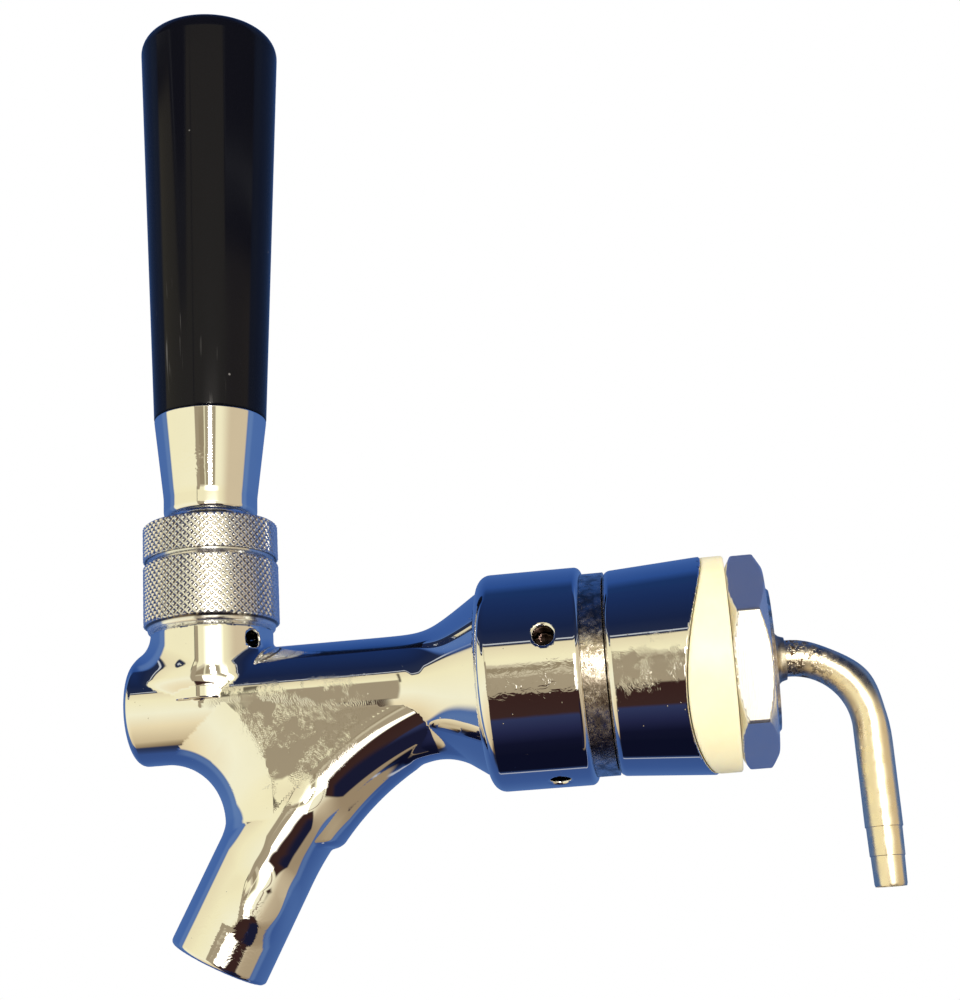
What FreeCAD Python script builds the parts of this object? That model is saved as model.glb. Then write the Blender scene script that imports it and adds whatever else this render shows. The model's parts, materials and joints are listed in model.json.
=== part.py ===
import FreeCAD, Part
import math
import os
import re

import Sketcher
from FreeCAD import Placement, Rotation, Vector

# Draught beer faucet on its column shank, closed.
# Frame: +X runs along the shank to the hose tail, +Z up the handle, +Y across.
# The origin is on the shank's axis, at the crown of the flange's saddle face.

doc = FreeCAD.newDocument("draught_faucet")
sheet = doc.addObject("Spreadsheet::Sheet", "dims")

DIMENSIONS = [
    ("fit_gap", 0.03, "gap between pieces that screw or push together"),
    ("slide_gap", 0.05, "running clearance of the valve shaft"),
    # handle, measured up from the lever's ball
    ("neck_x", -85.25, "axis of the neck, bonnet and handle"),
    ("pivot_z", 27.0, "centre of the lever's ball"),
    ("rest_lean", 0.9, "handle's lean towards the column when closed, degrees"),
    ("ball_radius", 6.5, "lever ball"),
    ("lever_neck_radius", 4.2, "lever between ball and thread"),
    ("lever_thread_radius", 4.76, "3/8 in handle thread"),
    ("lever_thread_foot", 6.6, "start of the handle thread"),
    ("lever_thread_top", 18.8, "end of the handle thread"),
    ("stem_root_radius", 3.2, "lever tongue at the ball"),
    ("stem_tip_radius", 1.9, "lever tongue above its tip"),
    ("tip_drop", 24.5, "ball centre to tip centre"),
    ("tip_radius", 2.5, "round tip that moves the shaft"),
    ("ferrule_foot", 7.6, "lower end of the ferrule"),
    ("ferrule_waist", 12.0, "top of the ferrule's straight foot"),
    ("ferrule_foot_radius", 8.65, "ferrule at its foot"),
    ("ferrule_lip", 0.4, "chamfer at the ferrule's foot"),
    ("tenon_radius", 7.0, "ferrule tenon inside the grip"),
    ("tenon_height", 5.0, "length of the tenon"),
    ("stud_radius", 3.97, "5/16 in machine end of the hanger bolt"),
    ("stud_foot", 19.4, "lower end of the hanger bolt"),
    ("stud_lag_radius", 3.5, "wood-thread end of the hanger bolt"),
    ("stud_top", 52.0, "upper end of the hanger bolt"),
    ("grip_foot", 27.3, "grip's lower face"),
    ("grip_foot_radius", 10.5, "grip at its foot"),
    ("grip_top", 108.2, "top of the grip"),
    ("grip_top_radius", 13.6, "grip at its widest"),
    ("grip_round", 4.8, "rounding of the grip's top edge"),
    # bonnet stack on the neck, heights above the shank's axis
    ("knurl_radius", 12.37, "both knurled rings"),
    ("knurl_chamfer", 0.4, "chamfer at the knurl's ends"),
    ("bonnet_foot", 13.6, "lower edge of the bonnet"),
    ("bonnet_foot_radius", 11.5, "bonnet's smooth lip"),
    ("bonnet_knurl_foot", 14.8, "start of the bonnet's knurl"),
    ("bonnet_knurl_top", 26.1, "end of the bonnet's knurl"),
    ("bonnet_web", 24.8, "top of the bonnet's thread"),
    ("bonnet_roof", 30.4, "underside of the bonnet's roof"),
    ("bonnet_top", 31.8, "top of the bonnet's spigot"),
    ("bonnet_mouth_radius", 6.0, "hole the lever passes through"),
    ("washer_bore_radius", 9.0, "bore that holds the washers and cup"),
    ("spigot_radius", 10.4, "bonnet spigot under the lock ring"),
    ("lock_ring_foot", 26.8, "lower edge of the lock ring"),
    ("lock_ring_throat", 32.0, "foot of the lock ring's flared mouth"),
    ("lock_ring_top", 33.4, "top of the lock ring"),
    ("lock_ring_mouth", 11.3, "radius of the lock ring's mouth"),
    ("neck_thread_radius", 10.6, "neck thread under the bonnet"),
    ("neck_shoulder", 13.3, "top of the neck's plain stretch"),
    ("neck_top", 24.6, "top of the neck"),
    ("neck_radius", 11.1, "plain stretch of the neck"),
    ("neck_bore_radius", 7.6, "well the lever's tongue swings in"),
    ("cup_seat", 22.0, "ledge under the bearing cup"),
    ("cup_top", 25.2, "top of the bearing cup"),
    ("vent_height", 10.6, "height of the vent holes"),
    ("vent_radius", 1.55, "vent holes in the neck"),
    ("vent_turn", 33.0, "vent direction, degrees from the shank"),
    # faucet body
    ("nose_x", -99.3, "front end of the valve barrel"),
    ("nose_round", 1.2, "rounding of the barrel's end"),
    ("nose_radius", 10.0, "barrel's front end"),
    ("barrel_radius", 9.8, "barrel"),
    ("flare_start", -48.6, "start of the flare"),
    ("flare_first", -43.8, "flare, first third"),
    ("flare_second", -39.4, "flare, second third"),
    ("flare_end", -34.1, "rear face of the flare"),
    ("flare_first_radius", 11.1, ""),
    ("flare_second_radius", 13.6, ""),
    ("flare_radius", 16.4, "flare at its rear face"),
    ("tail_radius", 11.8, "plain tail inside the coupling nut"),
    ("tail_end", -26.4, "rear face of the tail"),
    ("ring_groove_x", -30.4, "front of the snap ring's groove"),
    ("ring_width", 1.2, "snap ring thickness"),
    ("ring_groove_radius", 11.1, "bottom of the snap ring's groove"),
    ("ring_radius", 13.6, "snap ring outside"),
    ("barrel_blind_x", -97.4, "front end of the shaft's bore"),
    ("guide_end", -71.0, "rear end of the shaft's guide bore"),
    ("guide_radius", 4.97, "shaft's guide boss"),
    ("seat_x", -50.9, "valve seat"),
    ("seat_bore_radius", 5.6, "bore ahead of the seat"),
    ("chamber_radius", 9.2, "chamber behind the seat"),
    # spout, a straight run and an arc into the barrel
    ("spout_tip_x", -85.33, "centre of the spout's mouth"),
    ("spout_tip_z", -44.99, ""),
    ("spout_lean", 28.6, "spout's lean from the vertical, degrees"),
    ("spout_run", 18.9, "straight run above the mouth"),
    ("spout_bend", 56.3, "centreline radius of the spout's arc"),
    ("spout_sweep", 42.7, "turn of the arc, degrees"),
    ("spout_flow_sweep", 27.0, "turn of the passage's arc, degrees"),
    ("spout_radius", 9.0, "spout outside"),
    ("spout_bore_radius", 6.2, "spout passage"),
    ("web_half", 8.6, "half thickness of the web"),
    ("web_cut_x", -94.5, "centre of the web's hollow front"),
    ("web_cut_z", -21.5, ""),
    ("web_cut_radius", 11.4, ""),
    ("rib_half", 5.0, "half thickness of the back rib"),
    ("rib_height", 10.4, "rib's height above the spout's centreline"),
    ("rib_sweep", 25.0, "turn of the rib, degrees"),
    # coupling nut and shank
    ("nut_front", -35.2, "front face of the coupling nut"),
    ("nut_rear", -16.9, "rear face of the coupling nut"),
    ("nut_radius", 19.1, "coupling nut outside"),
    ("nut_chamfer", 2.4, "front chamfer of the coupling nut"),
    ("nut_round", 1.1, "rounding of the nut's rear edge"),
    ("nut_mouth_radius", 17.0, "counterbore round the flare"),
    ("nut_lip_front", -33.3, "front of the nut's inner lip"),
    ("nut_lip_rear", -30.5, "rear of the nut's inner lip"),
    ("coupling_thread_radius", 14.29, "1-1/8 in coupling thread"),
    ("spanner_x", -23.0, "centre of the spanner holes"),
    ("spanner_radius", 1.8, "spanner holes"),
    ("spanner_depth", 3.4, ""),
    ("spanner_turn", 13.0, "first spanner hole above the -Y side, degrees"),
    ("gasket_radius", 11.6, "coupling gasket outside"),
    ("gasket_hole", 6.5, ""),
    ("shank_front", -24.9, "front face of the shank"),
    ("collar_rear", -13.1, "rear face of the shank's rough collar"),
    ("collar_radius", 17.8, ""),
    ("shank_thread_radius", 12.7, "shank thread, 1 in"),
    ("shank_end", 15.3, "rear end of the shank"),
    ("shank_chamfer", 0.6, ""),
    ("shank_bore_radius", 3.0, "beer passage"),
    ("tail_socket_x", 6.0, "bottom of the elbow's socket"),
    # column flange, spacer, nut
    ("saddle_radius", 44.45, "column outside, 3-1/2 in across"),
    ("saddle_turn", 28.0, "crown line's turn from +Y about the shank, degrees"),
    ("flange_front_radius", 17.9, ""),
    ("flange_radius", 19.1, ""),
    ("flange_reach", 5.6, "flange's length past the crown before the saddle cut"),
    ("clamp_gap", 0.15, "gap left between flange and spacer"),
    ("spacer_rear", 8.1, ""),
    ("spacer_radius", 18.8, ""),
    ("hex_front", 8.2, ""),
    ("hex_height", 6.4, ""),
    ("hex_flats", 32.4, ""),
    ("hex_chamfer_radius", 16.0, ""),
    ("hex_turn", 12.3, "nut's turn about the shank, degrees"),
    # hose tail
    ("tube_radius", 3.175, "elbow tube outside, 1/4 in"),
    ("tube_bore_radius", 2.5, ""),
    ("elbow_start", 17.5, "end of the tube's level run"),
    ("elbow_bend", 12.9, "centreline radius of the elbow"),
    ("tail_plain_end", -29.8, "lower end of the plain hose seat"),
    ("barb_first", -34.6, "edge between the two barbs"),
    ("tail_tip", -39.6, "lower end of the tube"),
    ("barb_step", 0.15, "step at each barb"),
    ("tail_tip_radius", 2.7, ""),
    ("solder_radius", 5.2, "solder bead on the shank's face"),
    ("solder_length", 1.9, ""),
    ("solder_gap", 0.12, "clears the start of the elbow's bend"),
]

for row, (alias, size, note) in enumerate(DIMENSIONS, start=1):
    sheet.set(f"A{row}", alias)
    sheet.set(f"B{row}", str(size))
    sheet.setAlias(f"B{row}", alias)
    sheet.set(f"C{row}", note)
doc.recompute()

ALIASES = {alias for alias, _, _ in DIMENSIONS}
WORD = re.compile(r"[a-z][a-z_]*")


def bound(text):
    """A formula in the sheet's aliases, as an expression of the document."""
    return WORD.sub(lambda m: "dims." + m.group(0) if m.group(0) in ALIASES else m.group(0), text)


def number(text):
    """The present value of a formula in the sheet's aliases."""
    return float(sheet.evalExpression(bound(text)))


def bind(thing, sizes):
    for name, formula in sizes.items():
        thing.setExpression(name, bound(formula))


def place(thing, x="0", z="0", turn=None, axis=Vector(0, 1, 0)):
    """Stand a sub-part at (x, 0, z), turned about an axis through that point."""
    angle = number(turn) if turn else 0
    thing.Placement = Placement(Vector(number(x), 0, number(z)), Rotation(axis, angle))
    bind(thing, {"Placement.Base.x": x, "Placement.Base.z": z})
    if turn:
        bind(thing, {"Placement.Rotation.Angle": turn})


# ---------------------------------------------------------------- sketches and features

def new_body(label):
    body = doc.addObject("PartDesign::Body", label)
    body.Label = label
    return body


def new_sketch(body, name, plane):
    sketch = body.newObject("Sketcher::SketchObject", name)
    support = next(f for f in body.Origin.OriginFeatures if f.Role == plane)
    sketch.AttachmentSupport = [(support, "")]
    sketch.MapMode = "FlatFace"
    return sketch


def pin_point(sketch, geometry, position, across, up):
    """Tie a sketch point to the origin by two sizes, or to an axis where a size is nought."""
    for kind, axis, size in (("DistanceX", -2, across), ("DistanceY", -1, up)):
        if size == "0":
            sketch.addConstraint(Sketcher.Constraint("PointOnObject", geometry, position, axis))
            continue
        rule = Sketcher.Constraint(kind, -1, 1, geometry, position, number(size))
        sketch.setExpression(f"Constraints[{sketch.addConstraint(rule)}]", bound(size))


def add_outline(sketch, corners):
    """A closed outline of straight lines through corners given as pairs of formulas."""
    points = [Vector(number(across), number(up), 0) for across, up in corners]
    first = len(sketch.Geometry)
    count = len(points)
    for i in range(count):
        sketch.addGeometry(Part.LineSegment(points[i], points[(i + 1) % count]), False)
    for i in range(count):
        joined = Sketcher.Constraint("Coincident", first + i, 2, first + (i + 1) % count, 1)
        sketch.addConstraint(joined)
    for i, (across, up) in enumerate(corners):
        pin_point(sketch, first + i, 1, across, up)


def add_circle(sketch, across, up, radius):
    centre = Vector(number(across), number(up), 0)
    circle = sketch.addGeometry(Part.Circle(centre, Vector(0, 0, 1), number(radius)), False)
    pin_point(sketch, circle, 3, across, up)
    rule = sketch.addConstraint(Sketcher.Constraint("Radius", circle, number(radius)))
    sketch.setExpression(f"Constraints[{rule}]", bound(radius))


def turned(body, name, corners, axis="V_Axis", kind="PartDesign::Revolution", angle=None):
    """Turn an outline in the XZ plane round the sketch's own axis."""
    sketch = new_sketch(body, name + "_outline", "XZ_Plane")
    add_outline(sketch, corners)
    feature = body.newObject(kind, name)
    feature.Profile = sketch
    feature.ReferenceAxis = (sketch, [axis])
    feature.Angle = 360
    if angle:
        feature.Angle = angle
    doc.recompute()
    return feature


def checked_cut(body, feature):
    """A cut must take something away."""
    before = feature.BaseFeature.Shape.Volume
    doc.recompute()
    if not feature.Shape.Volume < before - 1e-3:
        raise RuntimeError(f"{body.Label}: {feature.Name} cut nothing")
    return feature


def ring_edges(shape, along, radius, axis):
    """Names of the round edges of one radius at one place along an axis."""
    names = []
    for i, edge in enumerate(shape.Edges, start=1):
        curve = edge.Curve
        if not isinstance(curve, Part.Circle):
            continue
        near = abs(curve.Center.dot(axis) - along) < 1e-3
        if near and abs(curve.Radius - radius) < 1e-3:
            names.append(f"Edge{i}")
    return names


def round_ring(body, name, along, radius, size, axis=Vector(0, 0, 1)):
    base = body.Tip
    feature = body.newObject("PartDesign::Fillet", name)
    feature.Base = (base, ring_edges(base.Shape, number(along), number(radius), axis))
    bind(feature, {"Radius": size})
    doc.recompute()


def turned_body(label, corners, axis="V_Axis", angle=None):
    body = new_body(label)
    turned(body, label + "_turned", corners, axis, angle=angle)
    return body


# ---------------------------------------------------------------- handle

def make_grip():
    tenon_top = "grip_foot + tenon_height"
    body = turned_body("handle_grip", [
        ("tenon_radius", "grip_foot"),
        ("grip_foot_radius", "grip_foot"),
        ("grip_top_radius", "grip_top"),
        ("0", "grip_top"),
        ("0", "stud_top"),
        ("stud_lag_radius", "stud_top"),
        ("stud_lag_radius", tenon_top),
        ("tenon_radius", tenon_top),
    ])
    round_ring(body, "grip_edge", "grip_top", "grip_top_radius", "grip_round")
    return body


def make_ferrule():
    tenon = "tenon_radius - fit_gap"
    tenon_top = "grip_foot + tenon_height - fit_gap"
    return turned_body("handle_ferrule", [
        ("lever_thread_radius", "ferrule_foot"),
        ("ferrule_foot_radius - ferrule_lip", "ferrule_foot"),
        ("ferrule_foot_radius", "ferrule_foot + ferrule_lip"),
        ("ferrule_foot_radius", "ferrule_waist"),
        ("grip_foot_radius", "grip_foot - fit_gap"),
        (tenon, "grip_foot - fit_gap"),
        (tenon, tenon_top),
        ("stud_radius", tenon_top),
        ("stud_radius", "stud_foot"),
        ("lever_thread_radius", "stud_foot"),
    ])


def make_stud():
    shoulder = "grip_foot + tenon_height"
    lag = "stud_lag_radius - fit_gap"
    return turned_body("handle_stud", [
        ("0", "stud_foot"),
        ("stud_radius - fit_gap", "stud_foot"),
        ("stud_radius - fit_gap", shoulder + " - 2 * fit_gap"),
        (lag, shoulder + " - fit_gap"),
        (lag, "stud_top - 2 * stud_lag_radius"),
        ("fit_gap", "stud_top - fit_gap"),
        ("0", "stud_top - fit_gap"),
    ])


def add_solid(kind, name, sizes, x="0", z="0", tilt=0.0, axis=Vector(0, 1, 0)):
    """A Part primitive with its sizes and its place in the XZ plane tied to the sheet."""
    solid = doc.addObject(kind, name)
    bind(solid, sizes)
    solid.Placement = Placement(Vector(number(x), 0, number(z)), Rotation(axis, tilt))
    bind(solid, {"Placement.Base.x": x, "Placement.Base.z": z})
    return solid


def fused(name, solids):
    union = doc.addObject("Part::MultiFuse", name)
    union.Shapes = solids
    union.Refine = True
    return union


def cut(name, base, tool):
    result = doc.addObject("Part::Cut", name)
    result.Base = base
    result.Tool = tool
    return result


def make_lever():
    tongue = {
        "Radius1": "stem_tip_radius",
        "Radius2": "stem_root_radius",
        "Height": "tip_drop - ball_radius / 2",
    }
    neck = {"Radius": "lever_neck_radius", "Height": "lever_thread_foot"}
    thread = {
        "Radius": "lever_thread_radius - fit_gap",
        "Height": "lever_thread_top - lever_thread_foot",
    }
    lever = fused("lever", [
        add_solid("Part::Sphere", "lever_ball", {"Radius": "ball_radius"}),
        add_solid("Part::Cylinder", "lever_neck", neck),
        add_solid("Part::Cylinder", "lever_thread", thread, z="lever_thread_foot"),
        add_solid("Part::Cone", "lever_tongue", tongue, z="-tip_drop"),
        add_solid("Part::Sphere", "lever_tip", {"Radius": "tip_radius"}, z="-tip_drop"),
    ])
    lever.Label = "lever"
    return lever


# ---------------------------------------------------------------- bonnet stack

def make_bonnet():
    thread = "neck_thread_radius + fit_gap"
    knurl_end = "knurl_radius - knurl_chamfer"
    return turned_body("bonnet", [
        (thread, "bonnet_foot"),
        ("bonnet_foot_radius", "bonnet_foot"),
        (knurl_end, "bonnet_knurl_foot"),
        ("knurl_radius", "bonnet_knurl_foot + knurl_chamfer"),
        ("knurl_radius", "bonnet_knurl_top - knurl_chamfer"),
        (knurl_end, "bonnet_knurl_top"),
        ("spigot_radius", "bonnet_knurl_top"),
        ("spigot_radius", "bonnet_top"),
        ("bonnet_mouth_radius", "bonnet_top"),
        ("bonnet_mouth_radius", "bonnet_roof"),
        ("washer_bore_radius", "bonnet_roof"),
        ("washer_bore_radius", "bonnet_web"),
        (thread, "bonnet_web"),
    ])


def make_lock_ring():
    bore = "spigot_radius + fit_gap"
    knurl_end = "knurl_radius - knurl_chamfer"
    return turned_body("bonnet_lock_ring", [
        (bore, "lock_ring_foot"),
        (knurl_end, "lock_ring_foot"),
        ("knurl_radius", "lock_ring_foot + knurl_chamfer"),
        ("knurl_radius", "lock_ring_top - knurl_chamfer"),
        (knurl_end, "lock_ring_top"),
        ("lock_ring_mouth", "lock_ring_top"),
        (bore, "lock_ring_throat"),
    ])


def ball_seat(rise):
    """Radius of the ball's own circle at a height above its centre."""
    return f"sqrt(ball_radius * ball_radius - {rise} * {rise})"


def make_friction_washer():
    outside = "washer_bore_radius - 2 * fit_gap"
    hole = "bonnet_mouth_radius + 2 * fit_gap"
    return turned_body("friction_washer", [
        (hole, "bonnet_roof - 0.8"),
        (outside, "bonnet_roof - 0.8"),
        (outside, "bonnet_roof - fit_gap"),
        (hole, "bonnet_roof - fit_gap"),
    ])


def make_ball_washer():
    outside = "washer_bore_radius - 2 * fit_gap"
    top = "bonnet_roof - 0.85"
    foot = "bonnet_roof - 2.4"
    return turned_body("ball_washer", [
        (ball_seat("1.0") + " + 0.13", foot),
        (outside, foot),
        (outside, top),
        (ball_seat("2.55") + " + 0.16", top),
    ])


def make_bearing_cup():
    outside = "washer_bore_radius - 2 * fit_gap"
    return turned_body("bearing_cup", [
        (ball_seat("4.4") + " + 0.2", "cup_seat + fit_gap"),
        (outside, "cup_seat + fit_gap"),
        (outside, "cup_top"),
        (ball_seat("1.8") + " + 0.15", "cup_top"),
        (ball_seat("3.1") + " + 0.15", "pivot_z - 3.1"),
        (ball_seat("4.4") + " + 0.2", "pivot_z - 4.4"),
    ])


# ---------------------------------------------------------------- faucet body

def primitive(body, kind, name, sizes, x, z, rotation):
    """A primitive feature of a body, placed in the body's XZ plane."""
    feature = body.newObject(kind, name)
    support = next(f for f in body.Origin.OriginFeatures if f.Role == "XY_Plane")
    feature.AttachmentSupport = [(support, "")]
    feature.MapMode = "FlatFace"
    feature.AttachmentOffset = Placement(Vector(number(x), 0, number(z)), rotation)
    bind(feature, {"AttachmentOffset.Base.x": x, "AttachmentOffset.Base.z": z})
    bind(feature, sizes)
    doc.recompute()
    return feature


# the spout's centreline climbs from its mouth, then bends back into the barrel
RUN_TOP_X = "spout_tip_x + spout_run * sin(spout_lean * 1 deg)"
RUN_TOP_Z = "spout_tip_z + spout_run * cos(spout_lean * 1 deg)"
BEND_X = RUN_TOP_X + " + spout_bend * cos(spout_lean * 1 deg)"
BEND_Z = RUN_TOP_Z + " - spout_bend * sin(spout_lean * 1 deg)"


def spout_arc(body, kind, name, tube_radius, sweep):
    """Part of a torus about Y whose tube starts at the top of the spout's straight run."""
    lean = number("spout_lean")
    # the torus turns about its local Z; X leads to the start and Y leads along the arc
    toward_start = Vector(-math.cos(math.radians(lean)), 0, math.sin(math.radians(lean)))
    along = Vector(math.sin(math.radians(lean)), 0, math.cos(math.radians(lean)))
    rotation = Rotation(toward_start, along, toward_start.cross(along), "XYZ")
    sizes = {"Radius1": "spout_bend", "Radius2": tube_radius, "Angle3": sweep}
    return primitive(body, kind, name, sizes, BEND_X, BEND_Z, rotation)


def spout_straight(body, kind, name, radius, length, x, z):
    rotation = Rotation(Vector(0, 1, 0), number("spout_lean"))
    return primitive(body, kind, name, {"Radius": radius, "Height": length}, x, z, rotation)


def pad_plate(body, name, corners, half):
    sketch = new_sketch(body, name + "_outline", "XZ_Plane")
    add_outline(sketch, corners)
    pad = body.newObject("PartDesign::Pad", name)
    pad.Profile = sketch
    pad.SideType = "Symmetric"
    bind(pad, {"Length": f"2 * {half}"})
    doc.recompute()


def make_faucet_body():
    body = new_body("faucet_body")
    turned(body, "barrel", [
        ("nose_x", "0"),
        ("nose_x", "nose_radius"),
        ("neck_x", "nose_radius"),
        ("flare_start", "barrel_radius"),
        ("flare_first", "flare_first_radius"),
        ("flare_second", "flare_second_radius"),
        ("flare_end", "flare_radius"),
        ("flare_end", "tail_radius"),
        ("ring_groove_x", "tail_radius"),
        ("ring_groove_x", "ring_groove_radius"),
        ("ring_groove_x + ring_width", "ring_groove_radius"),
        ("ring_groove_x + ring_width", "tail_radius"),
        ("tail_end", "tail_radius"),
        ("tail_end", "0"),
    ], axis="H_Axis")
    round_ring(body, "nose_edge", "nose_x", "nose_radius", "nose_round", Vector(1, 0, 0))
    upright = Rotation()
    primitive(body, "PartDesign::AdditiveCylinder", "neck",
              {"Radius": "neck_radius", "Height": "neck_shoulder"}, "neck_x", "0", upright)
    primitive(body, "PartDesign::AdditiveCylinder", "neck_thread",
              {"Radius": "neck_thread_radius", "Height": "neck_top"}, "neck_x", "0", upright)
    spout_straight(body, "PartDesign::AdditiveCylinder", "spout_run_outside",
                   "spout_radius", "spout_run", "spout_tip_x", "spout_tip_z")
    spout_arc(body, "PartDesign::AdditiveTorus", "spout_arc_outside", "spout_radius", "spout_sweep")
    pad_plate(body, "web", [
        ("web_cut_x", "0"),
        ("web_cut_x", "web_cut_z"),
        (RUN_TOP_X, RUN_TOP_Z),
        ("flare_start - 6", "-barrel_radius / 2"),
        ("flare_start - 6", "0"),
    ], "web_half")
    hollow = new_sketch(body, "web_front_outline", "XZ_Plane")
    add_circle(hollow, "web_cut_x", "web_cut_z", "web_cut_radius")
    pocket = body.newObject("PartDesign::Pocket", "web_front")
    pocket.Profile = hollow
    pocket.SideType = "Symmetric"
    bind(pocket, {"Length": "4 * web_half"})
    checked_cut(body, pocket)

    # rib on the spout's back: a thinner arc plate, standing a little proud
    rib_reach = "spout_bend - rib_height"
    start = "(spout_lean + 3) * 1 deg"
    middle = "(spout_lean + 3 + rib_sweep / 2) * 1 deg"
    end = "(spout_lean + 3 + rib_sweep) * 1 deg"
    pad_plate(body, "rib", [
        (f"{BEND_X} - ({rib_reach}) * cos({start})", f"{BEND_Z} + ({rib_reach}) * sin({start})"),
        (f"{BEND_X} - ({rib_reach}) * cos({middle})", f"{BEND_Z} + ({rib_reach}) * sin({middle})"),
        (f"{BEND_X} - ({rib_reach} + 1.5) * cos({end})", f"{BEND_Z} + ({rib_reach} + 1.5) * sin({end})"),
        (f"{BEND_X} - spout_bend * cos({end})", f"{BEND_Z} + spout_bend * sin({end})"),
        (f"{BEND_X} - spout_bend * cos({start})", f"{BEND_Z} + spout_bend * sin({start})"),
    ], "rib_half")

    # passages
    tail = "tail_end + 1"
    bore = turned(body, "valve_bore", [
        ("barrel_blind_x", "0"),
        ("barrel_blind_x", "guide_radius + slide_gap"),
        ("guide_end", "guide_radius + slide_gap"),
        ("guide_end", "seat_bore_radius"),
        ("seat_x", "seat_bore_radius"),
        ("seat_x", "chamber_radius"),
        (tail, "chamber_radius"),
        (tail, "0"),
    ], axis="H_Axis", kind="PartDesign::Groove")
    checked_cut(body, bore)
    well = primitive(body, "PartDesign::SubtractiveCylinder", "neck_well",
                     {"Radius": "neck_bore_radius", "Height": "neck_top"}, "neck_x", "0", upright)
    checked_cut(body, well)
    cup = primitive(body, "PartDesign::SubtractiveCylinder", "cup_pocket",
                    {"Radius": "washer_bore_radius", "Height": "neck_top - cup_seat"},
                    "neck_x", "cup_seat", upright)
    checked_cut(body, cup)
    arc = spout_arc(body, "PartDesign::SubtractiveTorus", "spout_arc_bore",
                    "spout_bore_radius", "spout_flow_sweep")
    checked_cut(body, arc)
    run = spout_straight(body, "PartDesign::SubtractiveCylinder", "spout_run_bore",
                         "spout_bore_radius", "spout_run", "spout_tip_x", "spout_tip_z")
    checked_cut(body, run)
    for side in (-1, 1):
        turn = number("vent_turn") * side
        rotation = Rotation(Vector(0, 0, 1), turn) * Rotation(Vector(0, 1, 0), 90)
        vent = primitive(body, "PartDesign::SubtractiveCylinder", f"vent_{'rl'[side > 0]}",
                         {"Radius": "vent_radius", "Height": "neck_radius * 1.5"},
                         "neck_x", "vent_height", rotation)
        checked_cut(body, vent)
    return body


# ---------------------------------------------------------------- valve shaft

TIP_X = "neck_x - tip_drop * sin(rest_lean * 1 deg)"


def make_valve_shaft():
    washer_hole = "tip_radius - 0.3"
    body = turned_body("valve_shaft", [
        (TIP_X + " - 6", "0"),
        (TIP_X + " - 6", "guide_radius - 0.6"),
        (TIP_X + " - 5.4", "guide_radius"),
        (TIP_X + " + 6", "guide_radius"),
        (TIP_X + " + 7", "tip_radius + 0.3"),
        ("seat_x - 3", "tip_radius + 0.3"),
        ("seat_x - 2.4", "seat_bore_radius - 1"),
        ("seat_x + slide_gap", "seat_bore_radius - 1"),
        ("seat_x + slide_gap", washer_hole),
        ("seat_x + 7.8", washer_hole),
        ("seat_x + 7.8", "0"),
    ], axis="H_Axis")
    hole = primitive(body, "PartDesign::SubtractiveCylinder", "lever_hole",
                     {"Radius": "tip_radius + 0.12", "Height": "4 * guide_radius"},
                     TIP_X, "-2 * guide_radius", Rotation())
    checked_cut(body, hole)
    return body


def make_seat_washer():
    hole = "tip_radius - 0.3 + fit_gap"
    front = "seat_x + slide_gap + fit_gap"
    outside = "seat_bore_radius + 1.8"
    return turned_body("shaft_seat_washer", [
        (front, hole),
        (front, outside),
        ("seat_x + 3.5", outside),
        ("seat_x + 3.5", hole),
    ], axis="H_Axis")


def make_shaft_nut():
    across = {"Polygon": "6", "Circumradius": "4.4", "Height": "3"}
    along_x = Vector(0, 1, 0)
    prism = add_solid("Part::Prism", "shaft_nut_hex", across, "seat_x + 3.55", "0", 90, along_x)
    bore = {"Radius": "tip_radius - 0.3 + fit_gap", "Height": "4"}
    hole = add_solid("Part::Cylinder", "shaft_nut_bore", bore, "seat_x + 3", "0", 90, along_x)
    nut = cut("shaft_nut", prism, hole)
    nut.Label = "shaft_nut"
    return nut


# ---------------------------------------------------------------- coupling

def make_coupling_nut():
    thread = "coupling_thread_radius + fit_gap"
    body = turned_body("coupling_nut", [
        ("nut_front", "nut_mouth_radius"),
        ("nut_front", "nut_radius - nut_chamfer / 2"),
        ("nut_front + nut_chamfer", "nut_radius"),
        ("nut_rear - fit_gap", "nut_radius"),
        ("nut_rear - fit_gap", thread),
        ("nut_lip_rear", thread),
        ("nut_lip_rear", "tail_radius + 0.15"),
        ("nut_lip_front", "tail_radius + 0.15"),
        ("nut_lip_front", "nut_mouth_radius"),
    ], axis="H_Axis")
    round_ring(body, "nut_edge", "nut_rear - fit_gap", "nut_radius", "nut_round", Vector(1, 0, 0))
    for quarter in range(4):
        turn = Rotation(Vector(1, 0, 0), 90 - number("spanner_turn") + 90 * quarter)
        hole = body.newObject("PartDesign::SubtractiveCylinder", f"spanner_hole_{quarter + 1}")
        support = next(f for f in body.Origin.OriginFeatures if f.Role == "XY_Plane")
        hole.AttachmentSupport = [(support, "")]
        hole.MapMode = "FlatFace"
        inner = turn.multVec(Vector(0, 0, number("nut_radius - spanner_depth")))
        hole.AttachmentOffset = Placement(Vector(number("spanner_x"), inner.y, inner.z), turn)
        bind(hole, {
            "AttachmentOffset.Base.x": "spanner_x",
            "Radius": "spanner_radius",
            "Height": "spanner_depth + 1",
        })
        checked_cut(body, hole)
    return body


def make_snap_ring():
    gap = "2 * fit_gap"
    front = "ring_groove_x + fit_gap"
    rear = "ring_groove_x + ring_width - fit_gap"
    return turned_body("coupling_snap_ring", [
        (front, "ring_groove_radius + " + gap),
        (front, "ring_radius"),
        (rear, "ring_radius"),
        (rear, "ring_groove_radius + " + gap),
    ], axis="H_Axis", angle=335)


def make_gasket():
    return turned_body("coupling_gasket", [
        ("tail_end + fit_gap", "gasket_hole"),
        ("tail_end + fit_gap", "gasket_radius"),
        ("shank_front - fit_gap", "gasket_radius"),
        ("shank_front - fit_gap", "gasket_hole"),
    ], axis="H_Axis")


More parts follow.
